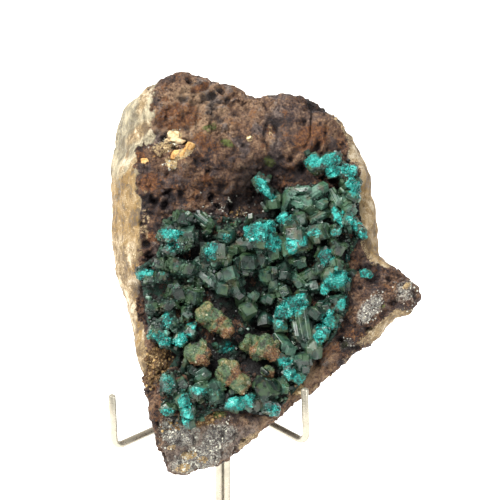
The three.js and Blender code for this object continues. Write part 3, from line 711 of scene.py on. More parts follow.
class Finish(Graph):
    """A material under construction, with patterns measured in millimetres on the stone's axes."""

    def __init__(self, name: str, turn: float = -62.0) -> None:
        """Makes the material and its coordinates, turned about x by a number of degrees."""
        self.material = bpy.data.materials.new(name)
        self.material.use_nodes = True
        super().__init__(self.material.node_tree)
        place = self.out("ShaderNodeTexCoord", output="Object")
        inputs = {"Vector": place, "Rotation": (math.radians(turn), 0.0, 0.0), "Scale": (1 / MM,) * 3}
        self.place = self.out("ShaderNodeMapping", inputs)

    def noise(self, size: float, detail: float = 4.0, rough: float = 0.55, warp: float = 0.0,
              pull: Triple | None = None) -> Socket:
        """Noise in about 0 to 1.

        Args:
            size: the size of its lumps in millimetres.
            detail, rough: how much smaller noise it has.
            warp: how far it is bent.
            pull: how much longer its lumps are along u, v and w.
        """
        place = self.place
        if pull:
            place = self.out("ShaderNodeMapping", {"Vector": place, "Scale": tuple(1 / p for p in pull)})
        shape = {"Scale": 1 / size, "Detail": detail, "Roughness": rough, "Distortion": warp}
        return self.mapped(self.out("ShaderNodeTexNoise", {"Vector": place, **shape}), 0.3, 0.7)

    def cells(self, size: float) -> Socket:
        """A random shade for each cell of a size in millimetres."""
        return self.out("ShaderNodeTexVoronoi", {"Vector": self.place, "Scale": 1 / size}, "Color")

    def value(self, name: Enum) -> Socket:
        """A number stored on the mesh."""
        return self.out("ShaderNodeAttribute", output="Fac", attribute_name=name.value)

    def sum(self, *terms: tuple[Socket, float]) -> Socket:
        """A weighted sum."""
        total: Socket | None = None
        for term, weight in terms:
            part = self.math("MULTIPLY", term, weight)
            total = part if total is None else self.math("ADD", total, part)
        return total

    def broken(self, share: Socket, grain: Socket, low: float = 0.4, high: float = 0.6) -> Socket:
        """A cover of 0 to 1 broken up by noise: ragged where it fades, and nothing where there is none."""
        rough = self.math("ADD", self.math("MULTIPLY", grain, 1.1), 0.3)
        return self.mapped(self.math("MULTIPLY", share, rough), low, high)

    def blend(self, share: object, a: object, b: object) -> Socket:
        """One colour over another."""
        a, b = (c if isinstance(c, Socket) else (*c, 1.0) for c in (a, b))
        return self.out("ShaderNodeMix", {"Factor": share, "A": a, "B": b}, "Result", data_type="RGBA")

    def over(self, color: Socket, paint: object, share: Socket, low: float, high: float,
             most: float) -> Socket:
        """Lays a paint over a colour, from nothing where the share is low to most where it is high."""
        return self.blend(self.mapped(share, low, high, (0.0, most)), color, paint)

    def shades(self, share: Socket, stops: Sequence[tuple[float, Color]]) -> Socket:
        """Colours along a scale."""
        node = self.add("ShaderNodeValToRGB", {0: share})
        band = node.color_ramp.elements
        while len(band) < len(stops):
            band.new(0.5)
        for element, (place, color) in zip(band, stops):
            element.position = place
            element.color = (*color, 1.0)
        return node.outputs[0]

    def relief(self, *layers: tuple[Socket, object, float]) -> Socket:
        """Bumps stacked on each other: height field, strength and depth in millimetres."""
        normal: Socket | None = None
        for height, strength, depth in layers:
            inputs = {"Height": height, "Strength": strength, "Distance": depth * MM}
            if normal is not None:
                inputs["Normal"] = normal
            normal = self.out("ShaderNodeBump", inputs)
        return normal

    def close(self, color: Socket, rough: object, bump: Socket | None = None, level: float = 0.5,
              **extra: object) -> Material:
        """Ends the material. Extra inputs' names have an underscore for each space."""
        inputs = {"Base Color": color, "Roughness": rough, "Specular IOR Level": level}
        inputs.update({name.replace("_", " "): value for name, value in extra.items()})
        if bump is not None:
            inputs["Normal"] = bump
        surface = self.out("ShaderNodeBsdfPrincipled", inputs)
        self.add("ShaderNodeOutputMaterial", {"Surface": surface})
        return self.material


@dataclass(frozen=True)
class LimoniteFinish:
    """The rock: spongy brown ironstone with its stains, and pale calcite on its left flank."""

    pit: Color = (0.01, 0.006, 0.007)
    dark: Color = (0.032, 0.019, 0.02)
    brown: Color = (0.086, 0.044, 0.029)
    light: Color = (0.21, 0.114, 0.067)
    dust: Color = (0.42, 0.275, 0.165)
    plum_dark: Color = (0.042, 0.03, 0.032)
    plum: Color = (0.105, 0.078, 0.074)
    plum_light: Color = (0.33, 0.275, 0.24)
    rust: Color = (0.225, 0.088, 0.036)
    rust_dark: Color = (0.06, 0.024, 0.014)
    gold: Color = (0.39, 0.205, 0.085)
    cream: Color = (0.76, 0.61, 0.35)
    cream_dark: Color = (0.48, 0.27, 0.09)
    ochre: Color = (0.24, 0.125, 0.038)
    ochre_dark: Color = (0.045, 0.022, 0.01)
    moss: Color = (0.15, 0.185, 0.05)
    ash: Color = (0.42, 0.425, 0.39)
    calcite: Color = (0.19, 0.128, 0.06)
    calcite_light: Color = (0.31, 0.228, 0.122)
    calcite_dark: Color = (0.105, 0.07, 0.038)
    calcite_iron: Color = (0.222, 0.13, 0.036)
    calcite_white: Color = (0.54, 0.46, 0.34)
    calcite_grey: Color = (0.35, 0.306, 0.2)
    smoke: Color = (0.235, 0.208, 0.142)
    smoke_dark: Color = (0.115, 0.095, 0.062)
    tan: Color = (0.5, 0.35, 0.2)

    def material(self) -> Material:
        """The rock's material."""
        f = Finish("limonite_matrix")
        broad = f.noise(6.5, 3, 0.5, 0.5)
        mid = f.noise(1.9, 5, 0.65, 0.15)
        fine = f.noise(0.55, 5, 0.7)
        dust = f.noise(0.22, 3, 0.6)
        # Painted light and shade from the rock's height: raised places are made paler, and low places near
        # black further on
        rise = f.value(Stain.HEIGHT_SHADE)
        drift = f.sum((mid, 0.2), (fine, 0.38), (dust, 0.16), (broad, 0.1), (rise, 0.28),
                      (f.value(Stain.PALE_PATCHES), 0.26))
        color = f.shades(drift, [
            (0.24, self.pit), (0.39, self.dark), (0.52, self.brown), (0.67, self.light), (0.92, self.dust),
        ])
        cloud = f.noise(3.4, 4, 0.6, 0.3)
        plum = f.math("MAXIMUM", cloud, f.sum((f.value(Stain.PLUM), 0.75), (cloud, 0.3)))
        plums = f.shades(drift, [
            (0.22, self.pit), (0.42, self.plum_dark), (0.6, self.plum), (0.92, self.plum_light),
        ])
        color = f.over(color, plums, plum, 0.58, 0.9, 0.8)
        color = f.over(color, self.pit, f.noise(0.42, 3, 0.7), 0.3, 0.05, 0.7)
        color = self.stained(f, color, mid, fine, dust)
        # Painted shade: the low places of the relief go near black
        color = f.over(color, self.pit, rise, 0.44, 0.02, 0.85)
        # Painted shade: the rock's hollows go near black
        color = f.over(color, self.pit, f.value(Stain.SHADE), 0.1, 1.0, 0.86)
        flank = f.value(Stain.CALCITE)
        calmer = ((0.55, 0.3), (0.75, 0.2), (1.0, 0.3), (0.9, 0.3))
        strengths = [f.mapped(flank, 0.2, 0.8, to) for to in calmer]
        bump = f.relief(*zip((mid, f.noise(0.9, 5, 0.75), fine, dust), strengths, (0.55, 0.36, 0.36, 0.14)))
        rough = f.mapped(fine, 0.2, 0.9, (0.42, 0.95))
        return f.close(color, rough, bump, 0.35)

    def stained(self, f: Finish, color: Socket, mid: Socket, fine: Socket, dust: Socket) -> Socket:
        """Lays the stains over the rock's own colour.

        Args:
            f: the material.
            color: the colour so far.
            mid, fine, dust: its noise, from coarse to fine.

        Returns:
            The colour with its stains.
        """
        crumb = f.sum((mid, 0.45), (fine, 0.35), (dust, 0.2))
        speck = f.sum((fine, 0.55), (dust, 0.45))
        rust = f.shades(speck, [(0.25, self.rust_dark), (0.6, self.rust), (0.9, self.gold)])
        wide = f.math("MULTIPLY", f.noise(4.6, 4, 0.65, 0.8), 0.62)
        iron = f.math("MAXIMUM", f.value(Stain.RUST), wide)
        tan = f.shades(speck, [(0.25, self.brown), (0.5, self.tan), (0.85, self.cream)])
        cream = f.blend(speck, self.cream_dark, self.cream)
        ochre = f.shades(speck, [(0.3, self.ochre_dark), (0.6, self.ochre), (0.9, self.cream)])
        ash = f.shades(speck, [
            (0.2, self.plum_dark), (0.38, self.plum), (0.58, self.ash), (0.84, self.calcite_white),
        ])
        layers = (
            (f.broken(iron, crumb, 0.4, 0.66), rust),
            (f.broken(f.value(Stain.TAN), crumb), tan),
            (f.broken(f.value(Stain.OCHRE), speck, 0.38, 0.52), ochre),
            (f.broken(f.value(Stain.ASH), speck, 0.34, 0.64), ash),
            (f.broken(f.value(Stain.MOSS), speck, 0.42, 0.8), self.moss),
            (f.broken(f.value(Stain.CREAM), speck, 0.42, 0.56), cream),
            (f.broken(f.value(Stain.CALCITE), crumb, 0.3, 0.42), self.calcite_color(f, speck)),
        )
        for share, paint in layers:
            color = f.blend(share, color, paint)
        return color

    def calcite_color(self, f: Finish, speck: Socket) -> Socket:
        """The flank's pale streaked calcite, smoky above and iron-stained in bands."""
        streak = f.noise(1.7, 5, 0.66, 0.7, (1.0, 1.9, 1.0))
        cloud = f.noise(3.8, 4, 0.6, 0.6)
        drift = f.sum((streak, 0.3), (speck, 0.3), (cloud, 0.32), (f.cells(1.3), 0.18))
        mix = f.mapped(drift, 0.1, 0.98)
        dark, light, white = self.calcite_dark, self.calcite_light, self.calcite_white
        pale = f.shades(mix, [(0.22, dark), (0.42, self.calcite), (0.66, light), (0.88, white)])
        smoky = f.shades(mix, [
            (0.16, self.smoke_dark), (0.4, self.smoke), (0.68, self.calcite_grey), (0.94, white),
        ])
        color = f.blend(f.value(Stain.SMOKE), pale, smoky)
        amber = f.shades(mix, [(0.3, dark), (0.5, self.calcite_iron), (0.9, light)])
        color = f.blend(f.broken(f.value(Stain.IRON), mix, 0.26, 0.76), color, amber)
        bend = f.math("ABSOLUTE", f.math("SUBTRACT", f.noise(2.1, 4, 0.62, 0.9, (1.0, 1.5, 1.0)), 0.5))
        color = f.over(color, dark, bend, 0.1, 0.0, 0.5)
        # Painted glints: whitish specks on the calcite
        glint = f.math("MULTIPLY", f.mapped(speck, 0.66, 0.8), f.mapped(cloud, 0.4, 0.7))
        return f.blend(f.math("MULTIPLY", glint, 0.6), color, white)


@dataclass(frozen=True)
class DioptaseFinish:
    """Dioptase, from deep grey-green crystals to bright turquoise druse.

    Attributes:
        name: the material's name.
        deep, mid, pale: the body colours from dark to light.
        leaf: the yellower green of some crystals.
        bloom_low, bloom_high, bloom_peak: the turquoise with painted shade, painted light and painted
            highlights.
        painted_glint: its few whitish specks, painted glints.
        lift: how much paler the whole is.
        gloss: the least roughness.
        grain: how much each body's own shade counts in the turquoise.
        coat: the strength of the clear sheen on the faces.
    """

    name: str = "dioptase_facets"
    deep: Color = (0.003, 0.009, 0.006)
    mid: Color = (0.012, 0.038, 0.026)
    pale: Color = (0.08, 0.192, 0.13)
    leaf: Color = (0.04, 0.078, 0.032)
    bloom_low: Color = (0.0, 0.045, 0.038)
    bloom_high: Color = (0.0, 0.23, 0.198)
    bloom_peak: Color = (0.04, 0.5, 0.44)
    painted_glint: Color = (0.5, 0.76, 0.7)
    rust: Color = (0.09, 0.05, 0.024)
    hollow_shade: Color = (0.004, 0.005, 0.004)
    lift: float = 0.0
    gloss: float = 0.26
    grain: float = 0.34
    coat: float = 0.1

    def material(self) -> Material:
        """The crystals' material."""
        f = Finish(self.name)
        cloud = f.noise(1.8, 3, 0.55)
        fine = f.noise(0.42, 4, 0.65)
        tone = f.value(Growth.TONE)
        shade = f.sum((cloud, 0.34), (fine, 0.2), (tone, 0.46))
        shade = f.math("ADD", shade, self.lift - 0.03)
        body = f.shades(shade, [(0.16, self.deep), (0.48, self.mid), (0.92, self.pale)])
        body = f.over(body, self.leaf, f.noise(3.1, 2), 0.52, 0.8, 0.6)
        body = f.over(body, self.rust, f.noise(2.6, 3, 0.5), 0.8, 1.0, 0.3)
        drift = f.sum((fine, 0.28), (f.noise(1.6, 3, 0.6, 0.5), 0.76 - self.grain), (tone, self.grain))
        # Painted light and shade on the turquoise, up to whitish painted glints
        bright = f.shades(drift, [
            (0.2, self.bloom_low), (0.48, self.bloom_high), (0.76, self.bloom_peak), (0.97, self.painted_glint),
        ])
        ragged = f.sum((f.noise(1.1, 4, 0.65), 0.6), (fine, 0.4))
        bloom = f.broken(f.value(Growth.BLOOM), ragged, 0.3, 0.7)
        color = f.blend(bloom, body, bright)
        # Painted shade: places deep among their neighbours go near black
        color = f.over(color, self.hollow_shade, f.value(Growth.HOLLOW), 0.12, 1.0, 0.88)
        rough = f.mapped(f.noise(2.3, 2), 0.4, 0.85, (self.gloss + 0.22, self.gloss))
        bump = f.relief(
            (cloud, 0.25, 0.18),
            (fine, f.mapped(bloom, 0.0, 1.0, (0.12, 0.75)), 0.14),
            (f.noise(0.2, 2), f.mapped(bloom, 0.0, 1.0, (0.06, 0.6)), 0.07),
        )
        return f.close(color, rough, bump, 0.42, IOR=1.6, Coat_Weight=self.coat, Coat_Roughness=0.08)


@dataclass(frozen=True)
class BedFinish:
    """The dark druse between the crystals, stained by the rock under it."""

    earth_and_shade: Color = (0.005, 0.004, 0.004)
    brown: Color = (0.02, 0.013, 0.01)
    green: Color = (0.008, 0.028, 0.019)
    leaf: Color = (0.018, 0.056, 0.038)
    rust: Color = (0.12, 0.05, 0.022)
    bloom_low: Color = (0.0, 0.055, 0.048)
    bloom_high: Color = (0.002, 0.23, 0.2)

    def material(self) -> Material:
        """The bed's material."""
        f = Finish("druse_bed")
        cloud = f.noise(2.4, 5, 0.6, 0.4)
        fine = f.noise(0.4, 4, 0.65)
        color = f.shades(f.sum((cloud, 0.7), (fine, 0.3)), [
            (0.18, self.earth_and_shade), (0.34, self.brown), (0.5, self.green), (0.8, self.leaf),
        ])
        color = f.over(color, self.rust, f.noise(1.4, 4, 0.65), 0.8, 0.97, 0.5)
        bright = f.blend(fine, self.bloom_low, self.bloom_high)
        color = f.blend(f.broken(f.value(Growth.BLOOM), f.noise(0.9, 4, 0.65), 0.5, 0.72), color, bright)
        # Painted shade: the bed's hollows go to its darkest colour
        color = f.over(color, self.earth_and_shade, f.value(Growth.HOLLOW), 0.0, 0.7, 0.95)
        bump = f.relief((f.noise(0.9, 4), 0.7, 0.4), (fine, 0.7, 0.2))
        rough = f.mapped(fine, 0.2, 0.8, (0.35, 0.85))
        return f.close(color, rough, bump, 0.35)


@dataclass(frozen=True)
class OliveFinish:
    """Iron-stained knobs: olive and yellow-green with rust and pale sparkling grains."""

    dark: Color = (0.022, 0.026, 0.014)
    leaf: Color = (0.06, 0.118, 0.054)
    olive: Color = (0.13, 0.132, 0.052)
    sand: Color = (0.26, 0.205, 0.092)
    pale: Color = (0.46, 0.45, 0.31)
    rust: Color = (0.23, 0.096, 0.038)
    rust_dark: Color = (0.07, 0.033, 0.017)

    def material(self) -> Material:
        """The knobs' material."""
        f = Finish("iron_stained_olive")
        cloud = f.noise(2.2, 4, 0.6, 0.4)
        grain = f.noise(0.8, 4, 0.65, 0.3)
        fine = f.noise(0.3, 4, 0.65)
        tone = f.value(Growth.TONE)
        drift = f.sum((cloud, 0.4), (grain, 0.2), (fine, 0.16), (tone, 0.28))
        color = f.shades(drift, [
            (0.24, self.dark), (0.46, self.leaf), (0.66, self.olive), (0.84, self.sand), (0.96, self.pale),
        ])
        rust = f.shades(fine, [(0.25, self.rust_dark), (0.6, self.rust), (0.9, self.sand)])
        ragged = f.sum((cloud, 0.6), (grain, 0.4))
        color = f.blend(f.broken(f.value(Stain.RUST), ragged, 0.3, 0.75), color, rust)
        color = f.over(color, self.pale, tone, 0.86, 0.97, 0.85)
        color = f.over(color, self.dark, f.value(Growth.SEAM), 0.2, 0.9, 0.8)
        # Painted shade: places on the knobs deep among their neighbours go dark
        color = f.over(color, self.dark, f.value(Growth.HOLLOW), 0.1, 0.9, 0.9)
        bump = f.relief((grain, 0.55, 0.35), (fine, 0.65, 0.16))
        rough = f.mapped(grain, 0.2, 0.8, (0.12, 0.45))
        return f.close(color, rough, bump)


@dataclass(frozen=True)
class PaleFinish:
    """Small grains grown or caught on the rock.

    Attributes:
        name: the material's name.
        low, mid, high: its colours from dark to light.
        gloss: the least roughness.
    """

    name: str
    low: Color
    mid: Color
    high: Color
    gloss: float = 0.35

    def material(self) -> Material:
        """The grains' material."""
        f = Finish(self.name)
        cloud = f.noise(1.4, 4, 0.6, 0.5)
        fine = f.noise(0.3, 4, 0.65)
        drift = f.sum((cloud, 0.36), (fine, 0.28), (f.value(Growth.TONE), 0.36))
        color = f.shades(drift, [(0.22, self.low), (0.5, self.mid), (0.8, self.high)])
        bump = f.relief((cloud, 0.4, 0.25), (fine, 0.6, 0.12))
        rough = f.mapped(fine, 0.2, 0.8, (self.gloss, self.gloss + 0.4))
        return f.close(color, rough, bump)


@dataclass(frozen=True)
class NickelFinish:
    """Dull nickel plating, a little worn and warm.

    Attributes:
        name: the material's name.
        base: the metal's colour.
        rough: its roughness where it is worn least.
        bare: the share of clean metal, the rest being a dull film.
    """

    name: str = "nickel_wire"
    base: Color = (0.455, 0.42, 0.34)
    rough: float = 0.26
    bare: float = 0.62

    def material(self) -> Material:
        """The metal's material."""
        f = Finish(self.name)
        wear = f.noise(2.5, 5, 0.6)
        fine = f.noise(0.25, 3, 0.6)
        dull = tuple(c * 0.84 for c in self.base)
        color = f.blend(f.mapped(wear, 0.45, 0.95, (0.0, 0.75)), self.base, dull)
        rough = f.mapped(wear, 0.35, 0.9, (self.rough, self.rough + 0.14))
        bump = f.relief((wear, 0.12, 0.15), (fine, 0.1, 0.04))
        return f.close(color, rough, bump, Metallic=self.bare)


@dataclass(frozen=True)
class PaperFinish:
    """The plain pale floor, lit a little from within like a light table.

    Attributes:
        base: its colour.
        glow: how strongly it shines.
    """

    base: Color = (0.93, 0.925, 0.91)
    glow: float = 0.45

    def material(self) -> Material:
        """The floor's material."""
        f = Finish("pale_floor", 0.0)
        tint = f.blend(f.noise(160.0, 2), self.base, tuple(c * 0.985 for c in self.base))
        return f.close(tint, 0.9, Emission_Color=tint, Emission_Strength=self.glow)


# The finishes of the smaller pieces
CREAM = PaleFinish("cream_calcite", (0.36, 0.22, 0.095), (0.64, 0.49, 0.27), (0.8, 0.69, 0.46))
AMBER = PaleFinish("amber_calcite", (0.24, 0.095, 0.025), (0.6, 0.33, 0.1), (0.78, 0.56, 0.26))
FLAKES = PaleFinish("pale_flakes", (0.13, 0.115, 0.105), (0.45, 0.45, 0.39), (0.8, 0.77, 0.62))
SPONGE = PaleFinish("golden_sponge", (0.03, 0.015, 0.007), (0.18, 0.095, 0.03), (0.48, 0.33, 0.13))
GLITTER = DioptaseFinish(name="turquoise_druse", lift=0.1, gloss=0.4, grain=0.12, coat=0.0)
# The crystals' rounded edges, painted paler as edge highlights
EDGE_HIGHLIGHTS = DioptaseFinish(name="dioptase_edges", lift=0.08, gloss=0.3)
BRAZE = NickelFinish("nickel_braze", (0.48, 0.45, 0.37), 0.34)


# Heights of the crust


@dataclass
class HeightField:
    """How high the crust stands over the face, on a square grid.

    Attributes:
        reach: how far the neighbours that shade a place lie from it.
        cell: the grid's step.
        low, high: u and v of the grid's corners.
        empty: the height of cells that hold nothing.
        depths: how far below its neighbours a place starts to be shaded, and is shaded fully.
    """

    reach: float = 1.6
    cell: float = 0.25
    low: Pair = (-30.0, -20.0)
    high: Pair = (42.0, 72.0)
    empty: float = -99.0
    depths: Pair = (0.1, 2.0)
    grid: Array = field(init=False, repr=False)
    eased: Array = field(init=False, repr=False)

    def __post_init__(self) -> None:
        """Starts from an empty grid."""
        counts = [int((b - a) / self.cell) + 1 for a, b in zip(self.low, self.high)]
        self.grid = np.full(counts, self.empty)

    def cells(self, at: Array) -> tuple[Array, Array]:
        """The grid cells of places on the stone's axes."""
        places = ((at[:, :2] - np.array(self.low)) / self.cell).astype(int)
        places = np.clip(places, 0, np.array(self.grid.shape) - 1)
        return places[:, 0], places[:, 1]

    def lay(self, at: Array) -> None:
        """Raises the grid to the points."""
        np.maximum.at(self.grid, self.cells(at), at[:, 2])

    def settle(self) -> None:
        """Works out the height round each cell from the cells that hold something."""
        steps = int(self.reach / self.cell)
        held = (self.grid > self.empty).astype(float)
        total, weight = self.grid * held, held.copy()
        for _ in range(2):
            for axis in (0, 1):
                total = sum(np.roll(total, k, axis) for k in range(-steps, steps + 1))
                weight = sum(np.roll(weight, k, axis) for k in range(-steps, steps + 1))
        self.eased = total / np.maximum(weight, 1e-6)

    def hollow(self, at: Array) -> Array:
        """How deep places lie among their neighbours, 0 to 1."""
        return ramp(self.eased[self.cells(at)] - at[:, 2], *self.depths)


# The rock


@dataclass
class MatrixRock:
    """The ironstone: the solid's form, roughened and pitted, with its stains.

    Attributes:
        axes: the stone's frame.
        arms: ends of the wires' straight stretches near the rock, on the stone's axes.
        clear: from a wire's centre line, how far off the roughness starts and where it is full.
        voxel: the mesh's own cell.
        swells: size and height of its broad lumps.
        nodules: sizes and heights of its rounded grains, coarse and fine.
        pits: size and depth of its holes.
    """

    axes: StoneFrame
    arms: Sequence[tuple[Array, Array]]
    clear: Pair = (1.2, 3.2)
    voxel: float = 0.375
    swells: Pair = (5.0, 0.6)
    nodules: tuple[Pair, ...] = ((2.7, 1.15), (1.25, 0.7))
    pits: Pair = (3.1, 1.7)

    def build(self) -> Object:
        """Makes the rock."""
        piece = made_object("ironstone_matrix", merged_copy("ironstone_source", "matrix_rock"))
        self.roughen(remeshed(piece, self.voxel, 20, 0.6))
        piece.data.materials.append(LimoniteFinish().material())
        return finished(piece, "matrix", "matrix_rock")

    def quiet(self, at: Array) -> Array:
        """How much roughness is left near the wires: none where they touch the rock."""
        near = np.full(len(at), self.clear[1])
        for start, end in self.arms:
            along = end - start
            share = np.clip((at - start) @ along / (along @ along), 0.0, 1.0)
            near = np.minimum(near, np.linalg.norm(at - start - share[:, None] * along, axis=1))
        return ramp(near, *self.clear)

    def roughen(self, mesh: Mesh) -> None:
        """Moves the surface in and out and stores the stains."""
        at, facing = self.axes.surface(mesh)
        u, v = at[:, 0], at[:, 1]
        soft = np.stack([eased(mesh, facing[:, k], 36) for k in range(3)], axis=1)
        flank = self.flank(at, soft)
        front = ramp(facing[:, 2], 0.1, 0.5)
        sooth = cover(SMOOTH_PARTS, at) * front
        spongy = (1.0 - 0.85 * flank) * (1.0 - 0.55 * sooth) * (0.62 + 0.38 * ramp(facing[:, 2], -0.1, 0.45))
        ragged = bent(at, 0.55, 1.9, 41)
        rise = 0.3 + self.swells[1] * swell(at, self.swells[0], 11)
        for k, (size, height) in enumerate(self.nodules):
            dome = np.clip(0.78 - pores(ragged, size, 5 + 6 * k), -0.2, 0.78)
            rise += height * (dome - 0.3) * spongy
        hole = ramp(pores(ragged, self.pits[0], 31), 0.42, 0.12) * ramp(swell(at, 4.4, 17), -0.25, 0.35)
        rise -= self.pits[1] * hole * spongy
        rise += (0.24 * swell(at, 0.8, 23) + 0.12 * swell(at, 0.45, 29)) * (0.35 + 0.65 * spongy)
        rise += flank * self.cleavage(at)
        groove = np.abs(swell(at * np.array([1.0, 0.4, 1.0]), 3.2, 57))
        rise -= 0.55 * sooth * ramp(groove, 0.16, 0.0)
        fine_rise = rise.copy()
        rise += cover(FULLER, at) - cover(LEANER, at)
        grooved = rise - 1.2 * cover(HOLLOWS, at, 0.6) * front
        self.axes.swollen(mesh, at, facing, grooved * self.quiet(at))
        # Painted light and shade: the height of the fine relief, so that raised places come out paler and low
        # places darker
        relief = 0.48 + 0.55 * (fine_rise - 0.3) * (1.0 - 0.6 * flank)
        give(mesh, Stain.HEIGHT_SHADE, np.clip(relief, 0.0, 1.0))
        # Painted shade in the rock's hollows
        give(mesh, Stain.SHADE, cover(HOLLOWS, at, 0.7) * front)
        give(mesh, Stain.CALCITE, flank)
        give(mesh, Stain.IRON, self.iron(at) * flank)
        smoky = ramp(v + 4.0 * swell(at, 4.0, 63) + 2.0 * swell(at, 1.6, 65), 32.0, 50.0) * ramp(u, 6.0, 0.0)
        give(mesh, Stain.SMOKE, smoky * (1.0 - cover(CLEAR_CALCITE, at, 0.4)))
        give(mesh, Stain.TAN, self.rim(at, facing))
        for stain, ovals in STAINS.items():
            give(mesh, stain, cover(ovals, at) * front)
        self.strew(mesh, at, front, sooth, self.quiet(at) * (1.0 - flank))

    def strew(self, mesh: Mesh, at: Array, front: Array, sooth: Array,
              still: Array) -> None:
        """Stores where crumbs, grit, flakes and sponge stand.

        Args:
            mesh: the rock.
            at: its vertices on the stone's axes.
            front: how far each looks forwards.
            sooth: how smooth the rock is there.
            still: where anything may stand: off the calcite, and away from the wires.
        """
        u, v = at[:, 0], at[:, 1]
        give(mesh, Spread.CRUMBS, still * front * (1.0 - 0.7 * sooth) * ramp(swell(at, 3.6, 97), -0.45, 0.25))
        behind = 0.14 + 0.86 * front
        give(mesh, Spread.GRIT, still * behind * (1.0 - 0.5 * sooth) * ramp(swell(at, 2.6, 95), -0.7, 0.4))
        cream = np.maximum(ramp(v, 0.0, -4.0), 0.5 * ramp(u, -4.0, -6.0))
        cream *= cover(STAINS[Stain.CREAM], at)
        specked = np.maximum(cover(STAINS[Stain.ASH], at, 0.7), cream)
        give(mesh, Spread.FLAKES, still * front * specked * ramp(swell(at, 1.5, 99), -0.6, 0.3))
        give(mesh, Spread.SPONGE, still * front * cover(STAINS[Stain.OCHRE], at))

    def flank(self, at: Array, facing: Array) -> Array:
        """Where calcite shows: the left side above the lower tip, the right side and under the wing."""
        u, v = at[:, 0], at[:, 1]
        ragged = 0.26 * swell(at, 2.4, 149) + 0.24 * swell(at, 1.2, 151) + 0.16 * swell(at, 0.6, 153)
        left = ramp(u + 1.0 * swell(at, 2.2, 51) + 0.5 * swell(at, 0.9, 57), -12.0, -15.0)
        left *= ramp(facing[:, 0] + ragged, -0.34, -0.44)
        left *= ramp(v + 1.5 * swell(at, 3.0, 53), 3.0, 8.0)
        right = ramp(u, 19.0, 23.0) * ramp(facing[:, 0] + 0.8 * ragged, 0.24, 0.4)
        right *= ramp(v, 25.0, 28.0) * ramp(v + 2.0 * swell(at, 3.0, 55), 55.0, 48.0)
        under = ramp(u, 27.5, 31.0) * ramp(facing[:, 1] + 0.8 * ragged, -0.05, -0.4) * ramp(v, 21.0, 17.0)
        return np.maximum.reduce([left, right, under]) * ramp(facing[:, 2], 0.94, 0.8)

    def cleavage(self, at: Array) -> Array:
        """The calcite's broken steps, long up the stone."""
        drawn = at * np.array([1.0, 0.42, 1.0])
        steps = pores(drawn, 2.3, 37)
        return 0.55 * (0.45 - steps) + 0.22 * np.abs(swell(drawn, 1.1, 39))

    def iron(self, at: Array) -> Array:
        """Iron stain on the flank: amber veins, and a warm tint round its middle."""
        ragged = bent(at, 0.5, 1.6, 67)
        tint = 0.78 * ramp(np.abs(at[:, 1] + 2.0 * swell(at, 4.0, 73) - 38.5), 9.0, 4.0)
        tint = np.where(at[:, 0] > 10.0, 0.45 + 0.4 * swell(at, 3.0, 75), tint)
        return np.maximum(tint, cover(AMBER_VEINS, ragged, 0.35))

    def rim(self, at: Array, facing: Array) -> Array:
        """Where the broken edge is tan: down the right side, and weakly under the wing and the lower tip."""
        under = 0.45 * ramp(facing[:, 1], -0.05, -0.45) * ramp(at[:, 0], 4.0, 12.0)
        side = 0.6 * ramp(facing[:, 0], 0.2, 0.55) * ramp(at[:, 0], 17.0, 22.0) * ramp(at[:, 1], 24.0, 27.0)
        edge = cover(TAN_EDGES, at, 0.45) * ramp(facing[:, 2], 0.1, 0.3)
        return np.maximum(np.maximum(under, side) * ramp(facing[:, 2], 0.9, 0.6), edge)


# Crystals


@dataclass
class CrystalShape:
    """One six-sided prism with a three-faced tip.

    Attributes:
        radius, length: its size.
        stretch: how much wider it is one way than the other.
        spin: its turn about its own axis, in radians.
        tip_step: how far its shoulders lie below its tip, every other one twice as far, over its radius.
        faces: its faces as numbers of its corners: the tip's, the sides and the root.
    """

    radius: float
    length: float
    stretch: float = 0.0
    spin: float = 0.0
    tip_step: float = 0.62
    faces: tuple[tuple[int, ...], ...] = field(default=(
        (0, 1, 2, 3), (0, 3, 4, 5), (0, 5, 6, 1),
        (1, 7, 8, 2), (2, 8, 9, 3), (3, 9, 10, 4), (4, 10, 11, 5), (5, 11, 12, 6), (6, 12, 7, 1),
        (12, 11, 10, 9, 8, 7),
    ), repr=False)

    def corners(self) -> Array:
        """The corners on the crystal's own axes, its middle at the origin: tip, shoulders, roots."""
        turn = np.arange(6) * math.pi / 3
        ring = np.stack([np.cos(turn), np.sin(turn)], axis=1) * self.radius
        ring *= (1.0 + self.stretch, 1.0 - self.stretch)
        c, s = math.cos(self.spin), math.sin(self.spin)
        ring = ring @ np.array([[c, s], [-s, c]])
        top = self.length / 2
        drop = top - self.tip_step * self.radius * (1 + np.arange(6) % 2)
        shoulders = np.column_stack([ring, drop])
        roots = np.column_stack([ring * 0.92, np.full(6, -top)])
        return np.vstack([[0.0, 0.0, top], shoulders, roots])


def bloomed(at: Array) -> Array:
    """How turquoise places on the stone's axes are, with ragged borders."""
    shift = np.stack([swell(at, 1.4, 131 + k) + 0.5 * swell(at, 0.7, 135 + k) for k in range(2)], axis=1)
    ragged = at[:, :2] + 0.55 * shift
    return cover(BLOOMS, ragged)


def leaning(points: Array, heading: float, lean: float) -> Array:
    """Points tipped over by lean and turned to heading, both in degrees."""
    a, b = math.radians(lean), math.radians(heading)
    tip = np.array([[math.cos(a), 0, math.sin(a)], [0, 1, 0], [-math.sin(a), 0, math.cos(a)]])
    turn = np.array([[math.cos(b), -math.sin(b), 0], [math.sin(b), math.cos(b), 0], [0, 0, 1]])
    return points @ (turn @ tip).T


